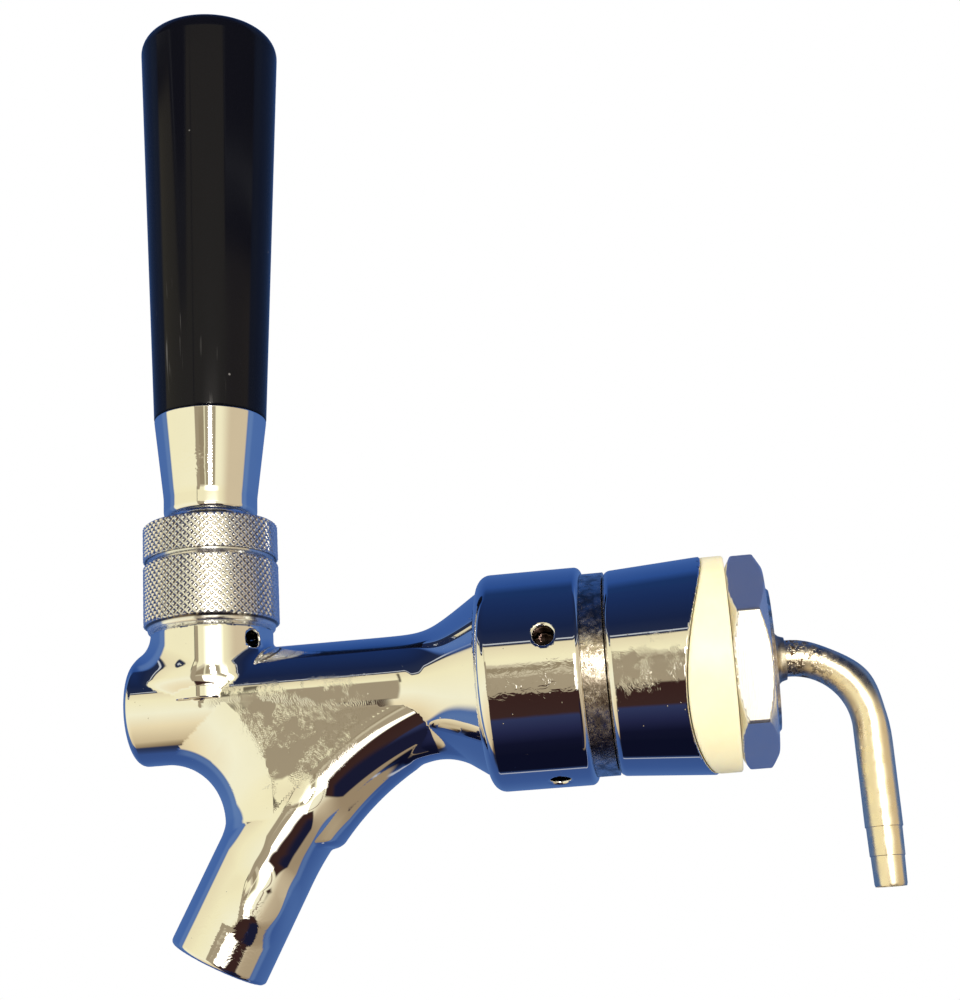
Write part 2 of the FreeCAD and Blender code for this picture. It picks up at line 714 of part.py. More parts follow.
def make_shank():
    socket = "tube_radius + fit_gap"
    thread_end = "shank_thread_radius - shank_chamfer"
    return turned_body("shank", [
        ("shank_front", "gasket_hole"),
        ("shank_front", "coupling_thread_radius - shank_chamfer"),
        ("shank_front + shank_chamfer", "coupling_thread_radius"),
        ("nut_rear", "coupling_thread_radius"),
        ("nut_rear", "collar_radius"),
        ("collar_rear", "collar_radius"),
        ("collar_rear", "shank_thread_radius"),
        ("shank_end - shank_chamfer", "shank_thread_radius"),
        ("shank_end", thread_end),
        ("shank_end", socket),
        ("tail_socket_x", socket),
        ("tail_socket_x", "shank_bore_radius"),
        ("nut_rear", "shank_bore_radius"),
    ], axis="H_Axis")


# ---------------------------------------------------------------- column clamp

def make_column_flange():
    hole = "shank_thread_radius + 2 * fit_gap"
    front = "collar_rear + fit_gap"
    body = turned_body("column_flange", [
        (front, hole),
        (front, "flange_front_radius"),
        ("flange_reach", "flange_radius"),
        ("flange_reach", hole),
    ], axis="H_Axis")
    sketch = new_sketch(body, "saddle_outline", "XZ_Plane")
    add_circle(sketch, "saddle_radius", "0", "saddle_radius")
    pocket = body.newObject("PartDesign::Pocket", "saddle")
    pocket.Profile = sketch
    pocket.SideType = "Symmetric"
    bind(pocket, {"Length": "4 * flange_radius"})
    checked_cut(body, pocket)
    return body


def make_column_spacer():
    hole = "shank_thread_radius + 2 * fit_gap"
    body = turned_body("column_spacer", [
        ("clamp_gap", hole),
        ("clamp_gap", "spacer_radius"),
        ("spacer_rear", "spacer_radius"),
        ("spacer_rear", hole),
    ], axis="H_Axis")
    sketch = new_sketch(body, "crown_outline", "XZ_Plane")
    add_circle(sketch, "saddle_radius + clamp_gap", "0", "saddle_radius")
    wide = "2 * saddle_radius + 10"
    low = "-2 * saddle_radius - 10"
    add_outline(sketch, [("-10", low), (wide, low), (wide, wide), ("-10", wide)])
    pocket = body.newObject("PartDesign::Pocket", "crown")
    pocket.Profile = sketch
    pocket.SideType = "Symmetric"
    bind(pocket, {"Length": "4 * spacer_radius"})
    checked_cut(body, pocket)
    return body


def make_hex_nut():
    rise = "hex_height / tan(30 deg)"
    front = {"Radius1": "hex_chamfer_radius", "Radius2": "hex_chamfer_radius + " + rise,
             "Height": "hex_height"}
    rear = {"Radius1": "hex_chamfer_radius + " + rise, "Radius2": "hex_chamfer_radius",
            "Height": "hex_height"}
    body = {"Polygon": "6", "Circumradius": "hex_flats / 2 / cos(30 deg)", "Height": "hex_height"}
    hole = {"Radius": "shank_thread_radius + fit_gap", "Height": "hex_height + 2"}
    prism = add_solid("Part::Prism", "hex_prism", body, "hex_front")
    prism.Placement.Rotation = Rotation(Vector(0, 1, 0), 90)
    trimmed = doc.addObject("Part::MultiCommon", "hex_trimmed")
    trimmed.Shapes = [
        prism,
        add_solid("Part::Cone", "hex_front_cone", front, "hex_front", "0", 90),
        add_solid("Part::Cone", "hex_rear_cone", rear, "hex_front", "0", 90),
    ]
    nut = cut("hex_nut", trimmed, add_solid("Part::Cylinder", "hex_bore", hole, "hex_front - 1", "0", 90))
    nut.Label = "hex_nut"
    return nut


# ---------------------------------------------------------------- hose tail

def elbow_solids(name, radius, bottom):
    """Level run, quarter bend and leg of one tube about the elbow's centreline."""
    level = {"Radius": radius, "Height": "elbow_start - tail_socket_x - fit_gap"}
    bend = {"Radius1": "elbow_bend", "Radius2": radius, "Angle3": "90"}
    leg = {"Radius": radius, "Height": f"-elbow_bend - ({bottom})"}
    quarter = add_solid("Part::Torus", name + "_bend", bend, "elbow_start", "-elbow_bend", 90,
                        Vector(1, 0, 0))
    return [
        add_solid("Part::Cylinder", name + "_level", level, "tail_socket_x + fit_gap", "0", 90),
        quarter,
        add_solid("Part::Cylinder", name + "_leg", leg, "elbow_start + elbow_bend", bottom),
    ]


def make_tail_elbow():
    upper = {"Radius1": "tube_radius - 2 * barb_step", "Radius2": "tube_radius - barb_step",
             "Height": "tail_plain_end - barb_first"}
    lower = {"Radius1": "tail_tip_radius", "Radius2": "tube_radius - barb_step",
             "Height": "barb_first - tail_tip"}
    leg_x = "elbow_start + elbow_bend"
    outside = elbow_solids("tube", "tube_radius", "tail_plain_end")
    outside.append(add_solid("Part::Cone", "barb_upper", upper, leg_x, "barb_first"))
    outside.append(add_solid("Part::Cone", "barb_lower", lower, leg_x, "tail_tip"))
    passage = elbow_solids("passage", "tube_bore_radius", "tail_tip")
    elbow = cut("tail_elbow", fused("tube_outside", outside), fused("tube_passage", passage))
    elbow.Label = "tail_elbow"
    return elbow


def make_solder():
    inner = "tube_radius + solder_gap"
    foot = "shank_end + fit_gap"
    return turned_body("solder_fillet", [
        (foot, inner),
        (foot, "solder_radius"),
        ("shank_end + solder_length / 3", "solder_radius - 1"),
        ("shank_end + solder_length", "tube_radius + 0.3"),
        ("shank_end + solder_length", inner),
    ], axis="H_Axis")


# ---------------------------------------------------------------- assembly

along_shank = [
    make_faucet_body(), make_valve_shaft(), make_seat_washer(), make_shaft_nut(),
    make_coupling_nut(), make_snap_ring(), make_gasket(), make_shank(),
    make_tail_elbow(), make_solder(),
]
on_neck = [
    make_bonnet(), make_lock_ring(), make_friction_washer(), make_ball_washer(), make_bearing_cup(),
]
on_lever = [make_grip(), make_ferrule(), make_stud(), make_lever()]
flange_pair = [make_column_flange(), make_column_spacer()]
hex_nut = make_hex_nut()

for part in on_neck:
    place(part, x="neck_x")
for part in on_lever:
    place(part, x="neck_x", z="pivot_z", turn="rest_lean")
for part in flange_pair:
    place(part, turn="saddle_turn", axis=Vector(1, 0, 0))
place(hex_nut, turn="hex_turn", axis=Vector(1, 0, 0))

doc.recompute()
for thing in doc.Objects:
    if "Invalid" in thing.State or "Error" in thing.State:
        raise RuntimeError(f"{thing.Name} did not build: {thing.State}")

os.makedirs("parts", exist_ok=True)
for part in along_shank + on_neck + on_lever + flange_pair + [hex_nut]:
    shape = part.Shape
    if shape.isNull() or not shape.isValid() or not shape.Solids:
        raise RuntimeError(f"{part.Label} has no sound solid")
    shape.exportStep(f"parts/{part.Label}.step")
    print(part.Label, len(shape.Solids), round(shape.Volume, 1), shape.BoundBox)
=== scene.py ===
import itertools
import json
import math

import bpy
import numpy as np
from mathutils import Matrix, Vector


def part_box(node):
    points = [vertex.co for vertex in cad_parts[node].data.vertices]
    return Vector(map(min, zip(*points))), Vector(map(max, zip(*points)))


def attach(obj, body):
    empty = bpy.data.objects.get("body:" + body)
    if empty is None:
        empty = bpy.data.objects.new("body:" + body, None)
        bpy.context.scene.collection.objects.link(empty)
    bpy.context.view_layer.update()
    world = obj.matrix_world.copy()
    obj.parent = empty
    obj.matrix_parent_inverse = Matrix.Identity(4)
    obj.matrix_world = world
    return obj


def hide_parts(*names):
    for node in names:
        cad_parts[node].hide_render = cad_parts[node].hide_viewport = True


# A draught beer faucet on its column shank, in chrome, knurled nickel, nylon and steel.
# Shapes are worked out in millimetres in the CAD frame and written in metres.
# The backdrop is white. Mirror reflections see a made-up surrounding instead: see make_world.

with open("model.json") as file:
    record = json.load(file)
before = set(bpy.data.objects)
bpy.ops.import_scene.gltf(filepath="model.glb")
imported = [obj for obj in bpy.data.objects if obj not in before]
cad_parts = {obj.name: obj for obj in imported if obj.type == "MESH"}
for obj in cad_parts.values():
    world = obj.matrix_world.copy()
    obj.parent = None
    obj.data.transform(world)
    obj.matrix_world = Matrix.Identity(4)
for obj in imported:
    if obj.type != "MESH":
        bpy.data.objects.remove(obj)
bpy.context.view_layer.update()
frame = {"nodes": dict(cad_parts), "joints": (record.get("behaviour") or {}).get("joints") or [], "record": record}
record = frame["record"]
MM = 0.001


def box_mm(node):
    """Lowest and highest corner of a CAD node, in millimetres."""
    low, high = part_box(node)
    return np.array(low) / MM, np.array(high) / MM


def mount_mm(name):
    """Place of a mount in millimetres, and the direction it faces."""
    mount = next(m for m in record["mounts"] if m["name"] == name)
    return np.array(mount["pos_m"]) / MM, np.array(mount["axis"], float)


def joint(name):
    return next(j for j in frame["joints"] if j["name"] == name)


# ---- places read from the frame

PIVOT = np.array(joint("lever_tilt")["pos_m"]) / MM
NECK_X = PIVOT[0]
BODY_LOW, BODY_HIGH = box_mm("faucet_body")
NUT_LOW, NUT_HIGH = box_mm("coupling_nut")
FLANGE_LOW, FLANGE_HIGH = box_mm("column_flange")
SPACER_LOW, SPACER_HIGH = box_mm("column_spacer")
HEX_LOW, HEX_HIGH = box_mm("hex_nut")
RING_HIGH = box_mm("bonnet_lock_ring")[1]
SHANK_HIGH = box_mm("shank")[1]
TAIL_LOW = box_mm("tail_elbow")[0]
REST_LEAN = math.radians(0.9)
SPANNER_X = mount_mm("spanner_hole_1")[0][0]
SADDLE_TURN = math.radians(28.0)
SADDLE_RADIUS = 44.45
HEX_TURN = math.radians(12.3)
SHANK_THREAD = 12.76


# ---- meshes from distances

def round_max(a, b, radius):
    """Common part of two solids, with the corner between them rounded."""
    u = np.maximum(a + radius, 0)
    v = np.maximum(b + radius, 0)
    return np.hypot(u, v) - radius + np.minimum(np.maximum(a, b) + radius, 0)


def round_min(a, b, radius):
    """Two solids joined, with a fillet between them."""
    return -round_max(-a, -b, radius)


def soft_step(value, low, high):
    """0 below low and 1 above high, with a smooth rise between."""
    t = np.clip((value - low) / (high - low), 0, 1)
    return t * t * (3 - 2 * t)


def gradient(distance, points, reach=2e-3):
    """Slope of a distance at given points."""
    slopes = []
    for axis in range(3):
        shift = np.zeros(3)
        shift[axis] = reach
        ahead = distance(*(points + shift).T)
        behind = distance(*(points - shift).T)
        slopes.append((ahead - behind) / (2 * reach))
    return np.stack(slopes, axis=1)


def crossing_points(field, cells, low, step):
    """Mean of the places where the surface crosses each cell's twelve edges."""
    total = np.zeros((len(cells), 3))
    hits = np.zeros(len(cells))
    for axis in range(3):
        others = [a for a in range(3) if a != axis]
        for side in itertools.product((0, 1), repeat=2):
            start = np.zeros(3, int)
            start[others[0]], start[others[1]] = side
            end = start.copy()
            end[axis] = 1
            here = field[tuple((cells + start).T)]
            there = field[tuple((cells + end).T)]
            crossed = (here < 0) != (there < 0)
            share = np.where(crossed, here / np.where(crossed, here - there, 1), 0)
            spot = cells + start + share[:, None] * (end - start)
            total += spot * crossed[:, None]
            hits += crossed
    return low + step * total / hits[:, None]


def net_faces(inside, index):
    """One quad round every grid edge that the surface crosses."""
    faces = []
    for axis in range(3):
        b, c = (axis + 1) % 3, (axis + 2) % 3
        near = np.take(inside, range(inside.shape[axis] - 1), axis)
        far = np.take(inside, range(1, inside.shape[axis]), axis)
        edges = np.argwhere(near != far)
        keep = np.ones(len(edges), bool)
        for other in (b, c):
            keep &= (edges[:, other] > 0) & (edges[:, other] < inside.shape[other] - 1)
        edges = edges[keep]
        leaving = near[tuple(edges.T)]
        ring = []
        for back_b, back_c in ((1, 1), (0, 1), (0, 0), (1, 0)):
            cell = edges.copy()
            cell[:, b] -= back_b
            cell[:, c] -= back_c
            ring.append(index[tuple(cell.T)])
        quads = np.stack(ring, axis=1)
        quads[~leaving] = quads[~leaving][:, ::-1]
        faces.append(quads)
    return np.concatenate(faces)


def surface_net(name, distance, low, high, step):
    """A closed quad mesh of the surface where distance(x, y, z) is nought."""
    low = np.array(low, float) - 2.3 * step
    counts = np.ceil((np.array(high, float) + 2.3 * step - low) / step).astype(int) + 1
    axes = [low[a] + step * np.arange(counts[a]) for a in range(3)]
    field = distance(*np.meshgrid(*axes, indexing="ij"))
    inside = field < 0
    corners = np.zeros(tuple(counts - 1), np.int8)
    for corner in itertools.product((0, 1), repeat=3):
        corners += inside[tuple(slice(o, counts[a] - 1 + o) for a, o in enumerate(corner))]
    mixed = (corners > 0) & (corners < 8)
    cells = np.argwhere(mixed)
    index = np.full(mixed.shape, -1)
    index[mixed] = np.arange(len(cells))
    points = crossing_points(field, cells, low, step)
    for _ in range(4):
        slope = gradient(distance, points)
        size = np.maximum((slope ** 2).sum(axis=1), 0.05)
        move = -(distance(*points.T) / size)[:, None] * slope
        length = np.linalg.norm(move, axis=1)
        points += move * np.minimum(1, 0.4 * step / np.maximum(length, 1e-9))[:, None]
    normals = gradient(distance, points)
    normals /= np.maximum(np.linalg.norm(normals, axis=1), 1e-9)[:, None]
    return add_mesh(name, points, net_faces(inside, index), normals)


def add_mesh(name, points, faces, normals=None):
    """A smooth-shaded object from points in millimetres."""
    mesh = bpy.data.meshes.new(name)
    faces = faces.tolist() if isinstance(faces, np.ndarray) else faces
    mesh.from_pydata((np.asarray(points) * MM).tolist(), [], faces)
    mesh.validate()
    mesh.shade_smooth()
    if normals is not None:
        mesh.normals_split_custom_set_from_vertices(np.asarray(normals).tolist())
    thing = bpy.data.objects.new(name, mesh)
    bpy.context.scene.collection.objects.link(thing)
    return thing


# ---- turned pieces

def rounded(corners, closed=True, steps=6):
    """A profile of (radius, height) points with each corner rounded, and its outward normals.

    corners are (radius, height, rounding), taken anticlockwise round the solid.
    """
    points, normals = [], []
    count = len(corners)
    for i, (across, up, size) in enumerate(corners):
        spot = np.array((across, up), float)
        before = np.array(corners[i - 1][:2], float)
        after = np.array(corners[(i + 1) % count][:2], float)
        coming = (spot - before) / max(np.linalg.norm(spot - before), 1e-9)
        going = (after - spot) / max(np.linalg.norm(after - spot), 1e-9)
        if not closed and i in (0, count - 1):
            along = going if i == 0 else coming
            points.append(spot)
            normals.append((along[1], -along[0]))
            continue
        first = np.array((coming[1], -coming[0]))
        turn = math.atan2(coming[0] * going[1] - coming[1] * going[0], float(coming @ going))
        room = 0.48 * min(np.linalg.norm(spot - before), np.linalg.norm(after - spot))
        cutback = min(size * abs(math.tan(turn / 2)), room)
        radius = cutback / max(abs(math.tan(turn / 2)), 1e-9)
        bulge = 1 if turn > 0 else -1
        centre = spot - coming * cutback - bulge * radius * first
        for k in range(steps + 1):
            a = turn * k / steps
            normal = first * math.cos(a) + np.array((-first[1], first[0])) * math.sin(a)
            points.append(centre + bulge * radius * normal)
            normals.append(normal)
    return np.array(points), np.array(normals)


def lathe(name, profile, closed=True, segments=144, axis="Z", origin=(0, 0, 0), lean=0.0,
          relief=None):
    """Turns a rounded profile about an axis; relief(angle, radius, height) sinks its surface."""
    points, normals = profile
    angles = np.arange(segments) * 2 * math.pi / segments
    radius, height, out, up = (np.repeat(column[:, None], segments, axis=1)
                               for column in (*points.T, *normals.T))
    if relief is not None:
        radius = radius - relief(angles[None, :], radius, height) * (out > 0.9)
    cos, sin = np.cos(angles), np.sin(angles)
    order = (1, 2, 0) if axis == "X" else (0, 1, 2)
    place = np.stack([radius * cos, radius * sin, height], axis=-1)
    face = np.stack([out * cos, out * sin, up], axis=-1)
    flip = np.argsort(order)
    tilt = np.array(Matrix.Rotation(lean, 3, "Y"))
    place = place[..., flip].reshape(-1, 3) @ tilt.T + np.array(origin)
    face = face[..., flip].reshape(-1, 3) @ tilt.T
    rows = len(points)
    faces = []
    for i in range(rows if closed else rows - 1):
        lower, upper = i * segments, (i + 1) % rows * segments
        on_axis_below = points[i][0] < 1e-6
        on_axis_above = points[(i + 1) % rows][0] < 1e-6
        for k in range(segments):
            n = (k + 1) % segments
            if on_axis_below:
                faces.append((lower, upper + n, upper + k))
            elif on_axis_above:
                faces.append((lower + k, lower + n, upper))
            else:
                faces.append((lower + k, lower + n, upper + n, upper + k))
    piece = add_mesh(name, place, faces, face if relief is None else None)
    drop_loose(piece)
    return piece


def drop_loose(piece):
    """Removes points that no face uses."""
    mesh = piece.data
    used = {v for polygon in mesh.polygons for v in polygon.vertices}
    if len(used) == len(mesh.vertices):
        return
    kept = sorted(used)
    place = {old: new for new, old in enumerate(kept)}
    points = [tuple(mesh.vertices[i].co) for i in kept]
    faces = [[place[v] for v in polygon.vertices] for polygon in mesh.polygons]
    corner_normals = {}
    for loop in mesh.loops:
        corner_normals[place[loop.vertex_index]] = tuple(mesh.corner_normals[loop.index].vector)
    fresh = bpy.data.meshes.new(mesh.name)
    fresh.from_pydata(points, [], faces)
    fresh.shade_smooth()
    fresh.normals_split_custom_set_from_vertices([corner_normals[i] for i in range(len(kept))])
    piece.data = fresh


# ---- shader helpers

def new_material(name, metallic=0.0):
    """A material with one Principled shader, and a graph to add nodes to it."""
    material = bpy.data.materials.new(name)
    material.use_nodes = True
    nodes = material.node_tree.nodes
    nodes.clear()
    output = nodes.new("ShaderNodeOutputMaterial")
    shader = nodes.new("ShaderNodeBsdfPrincipled")
    material.node_tree.links.new(shader.outputs[0], output.inputs[0])
    graph = Graph(material.node_tree, shader)
    graph.show("Metallic", metallic)
    return material, graph


class Graph:
    """Short names for the nodes that materials and the world are made of."""

    def __init__(self, tree, shader=None):
        self.tree = tree
        self.shader = shader

    def show(self, name, value):
        """Gives the shader's socket a node's output, or a constant of its own."""
        self.put(self.shader.inputs[name], value)

    def node(self, kind, inputs=None, **settings):
        made = self.tree.nodes.new(kind)
        for name, value in settings.items():
            setattr(made, name, value)
        for name, value in (inputs or {}).items():
            self.put(made.inputs[name], value)
        return made

    def link(self, source, target):
        self.tree.links.new(source, target)

    def put(self, socket, value):
        if hasattr(value, "is_output"):
            self.link(value, socket)
        else:
            socket.default_value = value

    def math(self, operation, a, b=0.0):
        return self.node("ShaderNodeMath", {0: a, 1: b}, operation=operation).outputs[0]

    def times(self, a, b):
        return self.math("MULTIPLY", a, b)

    def place(self):
        return self.node("ShaderNodeTexCoord").outputs["Object"]

    def parts_of(self, vector):
        return self.node("ShaderNodeSeparateXYZ", {0: vector}).outputs

    def stretched(self, scale, turn=(0, 0, 0)):
        return self.node("ShaderNodeMapping", {
            "Vector": self.place(), "Scale": scale, "Rotation": turn}).outputs[0]

    def noise(self, scale, detail=3.0, rough=0.5, vector=None, distortion=0.0):
        return self.node("ShaderNodeTexNoise", {
            "Vector": vector or self.place(), "Scale": scale, "Detail": detail,
            "Roughness": rough, "Distortion": distortion}).outputs["Fac"]

    def spots(self, scale):
        return self.node("ShaderNodeTexVoronoi", {
            "Vector": self.place(), "Scale": scale}).outputs["Distance"]

    def waves(self, scale, vector, distortion, detail):
        return self.node("ShaderNodeTexWave", {
            "Vector": vector, "Scale": scale, "Distortion": distortion,
            "Detail": detail}).outputs["Fac"]

    def band(self, value, low, high, out_low=0.0, out_high=1.0):
        """A smooth change from out_low to out_high as a value goes from low to high."""
        return self.node("ShaderNodeMapRange", {
            "Value": value, "From Min": low, "From Max": high, "To Min": out_low,
            "To Max": out_high}, interpolation_type="SMOOTHSTEP").outputs["Result"]

    def blend(self, factor, a, b):
        return self.node("ShaderNodeMix", {"Factor": factor, "A": a, "B": b},
                         data_type="RGBA").outputs["Result"]

    def bump(self, height, strength, distance, under=None):
        inputs = {"Strength": strength, "Distance": distance, "Height": height}
        if under is not None:
            inputs["Normal"] = under
        return self.node("ShaderNodeBump", inputs).outputs["Normal"]

    def from_axis(self, axis, centre=(0.0, 0.0)):
        """Distance from a line along Z at (x, y), or along X at (y, z), in metres."""
        here = self.parts_of(self.place())
        first, second = ("X", "Y") if axis == "Z" else ("Y", "Z")
        a = self.math("SUBTRACT", here[first], centre[0] * MM)
        b = self.math("SUBTRACT", here[second], centre[1] * MM)
        return self.math("SQRT", self.math("ADD", self.times(a, a), self.times(b, b)))

    def near(self, spot, radius):
        """1 at a spot in millimetres, falling to 0 at a radius."""
        away = self.node("ShaderNodeVectorMath", {0: self.place(), 1: tuple(v * MM for v in spot)},
                         operation="DISTANCE")
        return self.band(away.outputs["Value"], 0.35 * radius * MM, radius * MM, 1.0, 0.0)


def paint(piece, material):
    piece.data.materials.clear()
    piece.data.materials.append(material)


# ---- materials

def chrome(name, hatches=(), crinkles=(), swells=(), hole_x=None):
    """Mirror chrome: fine pits, and round given spots hatched scratches, crinkles and swells.

    hole_x is where the four spanner holes stand, whose insides are painted dark with shade.
    """
    material, g = new_material(name, metallic=1.0)
    plate = g.blend(g.noise(140.0, 4.0), (0.88, 0.89, 0.90, 1), (0.95, 0.95, 0.95, 1))
    polish = g.band(g.noise(60.0, 3.0), 0.3, 0.8, 0.02, 0.045)
    if hole_x is not None:
        beside = g.math("ABSOLUTE", g.math("SUBTRACT", g.parts_of(g.place())["X"], hole_x * MM))
        outside = NUT_HIGH[2]
        sunk = g.band(g.from_axis("X"), (outside - 1.3) * MM, (outside - 0.75) * MM, 1.0, 0.0)
        inside = g.times(sunk, g.band(beside, 0.0018, 0.0024, 1.0, 0.0))
        # Painted shade: inside each hole, below the nut's outside, the colour turns near-black and the surface
        # rougher.
        plate = g.blend(inside, plate, (0.045, 0.03, 0.025, 1))
        polish = g.math("ADD", polish, g.times(inside, 0.18))
    g.show("Base Color", plate)
    g.show("Roughness", polish)
    surface = g.bump(g.noise(190.0, 1.0), 0.10, 0.00003)
    for spot, radius, turn in hatches:
        hatch = g.waves(900.0, g.stretched((1, 1, 1), (0, turn, 0)), 14.0, 3.0)
        patch = g.times(g.near(spot, radius), g.band(g.noise(380.0, 2.0), 0.40, 0.60))
        surface = g.bump(g.times(hatch, patch), 0.5, 0.000013, surface)
    for spot, radius in crinkles:
        grain = g.noise(750.0, 2.0, 0.5, g.stretched((0.6, 1.0, 1.0)), 1.5)
        surface = g.bump(g.times(grain, g.near(spot, radius)), 0.6, 0.00006, surface)
    for spot, radius in swells:
        wave = g.noise(85.0, 0.0)
        surface = g.bump(g.times(wave, g.near(spot, radius)), 1.0, 0.0012, surface)
    pits = g.band(g.spots(420.0), 0.02, 0.07, 0.0, 1.0)
    g.show("Normal", g.bump(pits, 0.25, 0.00004, surface))
    return material


def black_plastic():
    """Glossy moulded grip: faint flow marks, hair scratches and a little dust."""
    material, g = new_material("grip_gloss")
    dust = g.band(g.spots(330.0), 0.05, 0.09, 1.0, 0.0)
    sparse = g.band(g.noise(90.0, 2.0), 0.62, 0.70)
    streaks = g.stretched((1.0, 1.0, 0.05), (0.25, 0.1, 0))
    hairs = g.band(g.noise(900.0, 2.0, 0.6, streaks), 0.64, 0.70)
    speck = g.times(dust, sparse)
    marks = g.times(hairs, g.band(g.noise(35.0), 0.52, 0.64))
    worn = g.math("MAXIMUM", speck, g.times(marks, 0.35))
    colour = g.blend(worn, (0.0035, 0.0036, 0.0060, 1), (0.22, 0.21, 0.20, 1))
    g.show("Base Color", colour)
    g.show("Roughness", g.band(g.noise(45.0, 4.0), 0.3, 0.75, 0.07, 0.16))
    g.show("Specular IOR Level", 0.16)
    flow = g.bump(g.noise(55.0, 2.0, 0.4, g.stretched((1, 1, 0.3))), 0.08, 0.0002)
    g.show("Normal", g.bump(marks, 0.15, 0.00005, flow))
    return material


def nickel_knurl():
    """Bright nickel, with painted shade in the knurl's grooves and on the band's edges, and plain bright plate on
    the crests and again further in.
    """
    material, g = new_material("nickel_bright", metallic=0.96)
    from_centre = g.from_axis("Z", (NECK_X, 0.0))
    # Painted shade: these depth masks leave the knurl's grooves and the band's edge lips dark, with bright plate
    # on the crests and further in.
    crest = g.band(from_centre, (KNURL_RADIUS - 0.40) * MM, (KNURL_RADIUS - 0.22) * MM)
    plate = g.blend(g.noise(500.0, 3.0), (0.84, 0.85, 0.87, 1), (0.99, 0.99, 0.99, 1))
    inner = g.band(from_centre, (KNURL_RADIUS - 0.75) * MM, (KNURL_RADIUS - 0.60) * MM, 1.0, 0.0)
    bright = g.math("MAXIMUM", crest, inner)
    g.show("Base Color", g.blend(bright, (0.20, 0.18, 0.17, 1), plate))
    g.show("Roughness", g.band(g.noise(900.0, 2.0), 0.3, 0.7, 0.10, 0.24))
    g.show("Normal", g.bump(g.noise(1800.0, 2.0), 0.18, 0.00004))
    return material


def rough_plate(name, dark, light, rough_low, rough_high, grain, depth):
    """Unpolished plated metal with a cast or turned grain."""
    material, g = new_material(name, metallic=1.0)
    blotch = g.noise(grain * 0.35, 5.0, 0.65)
    g.show("Base Color", g.blend(g.band(blotch, 0.35, 0.65), dark, light))
    g.show("Roughness", g.band(g.noise(grain, 4.0), 0.3, 0.7, rough_low, rough_high))
    g.show("Normal", g.bump(g.noise(grain, 5.0, 0.7), 0.55, depth))
    return material


def satin_nickel():
    """Hex nut: soft satin plate with faint brushing round the shank."""
    material, g = new_material("nickel_satin", metallic=0.93)
    brushing = g.noise(700.0, 3.0, 0.6, g.stretched((6.0, 0.6, 0.6)))
    g.show("Base Color", g.blend(brushing, (0.82, 0.82, 0.84, 1), (0.94, 0.93, 0.92, 1)))
    g.show("Roughness", g.band(g.noise(220.0, 3.0), 0.3, 0.7, 0.16, 0.24))
    nicks = g.band(g.spots(260.0), 0.03, 0.08, 0.0, 1.0)
    g.show("Normal", g.bump(nicks, 0.2, 0.0001, g.bump(brushing, 0.08, 0.00005)))
    return material


def stainless_tube():
    """Warm stainless tube, speckled with flux near the soldered root."""
    material, g = new_material("steel_warm", metallic=1.0)
    root = SHANK_HIGH[0] * MM
    close = g.band(g.parts_of(g.place())["X"], root + 0.002, root + 0.013, 1.0, 0.0)
    speckle = g.times(g.band(g.noise(950.0, 3.0, 0.7), 0.50, 0.60), close)
    base = g.blend(g.noise(160.0, 4.0), (0.90, 0.77, 0.56, 1), (1.0, 0.92, 0.76, 1))
    g.show("Base Color", g.blend(speckle, base, (0.10, 0.06, 0.03, 1)))
    rough = g.band(g.noise(420.0, 3.0), 0.3, 0.7, 0.22, 0.36)
    g.show("Roughness", g.math("ADD", rough, g.times(speckle, 0.35)))
    draw = g.bump(g.noise(600.0, 3.0, 0.6, g.stretched((1, 1, 0.2))), 0.10, 0.00006)
    g.show("Normal", g.bump(speckle, 0.6, 0.00012, draw))
    return material


def ivory_nylon():
    """Moulded nylon: slightly translucent, with soft mottling and turning marks."""
    material, g = new_material("nylon_ivory")
    mottle = g.noise(120.0, 4.0, 0.6)
    g.show("Base Color", g.blend(mottle, (0.93, 0.80, 0.46, 1), (0.98, 0.90, 0.64, 1)))
    g.show("Roughness", g.band(g.noise(300.0), 0.3, 0.7, 0.34, 0.48))
    g.show("Subsurface Weight", 0.25)
    g.show("Subsurface Radius", (0.003, 0.0022, 0.0012))
    g.show("Subsurface Scale", 1.0)
    turning = g.noise(1400.0, 2.0, 0.5, g.stretched((1.0, 0.08, 0.08)))
    g.show("Normal", g.bump(turning, 0.12, 0.00006, g.bump(mottle, 0.15, 0.0002)))
    return material


def hidden_look(name, metallic, dark, light, grains, rough, strength):
    """Turned brass or black rubber of the parts inside; grains are for colour, gloss and bumps."""
    material, g = new_material(name, metallic)
    g.show("Base Color", g.blend(g.noise(grains[0]), dark, light))
    g.show("Roughness", g.band(g.noise(grains[1]), 0.3, 0.7, *rough))
    g.show("Normal", g.bump(g.noise(grains[2]), strength, 0.00005))
    return material


def pale_floor():
    material, g = new_material("floor_pale")
    colour = g.blend(g.noise(6.0), (0.86, 0.86, 0.86, 1), (0.88, 0.88, 0.88, 1))
    g.show("Base Color", colour)
    g.show("Roughness", 0.7)
    return material


# ---- faucet body

MOUTH_BACK = 9.0
OUTLET, OUTLET_AXIS = mount_mm("spout_outlet")
SPOUT_TIP = OUTLET + MOUTH_BACK * OUTLET_AXIS
SPOUT_LEAN = math.atan2(-OUTLET_AXIS[0], -OUTLET_AXIS[2])
SPOUT_UP = (math.sin(SPOUT_LEAN), math.cos(SPOUT_LEAN))
SPOUT_RUN = 18.9
SPOUT_OVERRUN = 9
SPOUT_BEND = 56.3
SPOUT_RADIUS = 9.0
SPOUT_BORE = 6.2
RUN_TOP = (SPOUT_TIP[0] + SPOUT_RUN * SPOUT_UP[0], SPOUT_TIP[2] + SPOUT_RUN * SPOUT_UP[1])
BEND_X = RUN_TOP[0] + SPOUT_BEND * math.cos(SPOUT_LEAN)
BEND_Z = RUN_TOP[1] - SPOUT_BEND * math.sin(SPOUT_LEAN)
ARC_START = math.pi - SPOUT_LEAN
OUTSIDE_SWEEP = math.radians(42.7)
PASSAGE_SWEEP = math.radians(27.0)
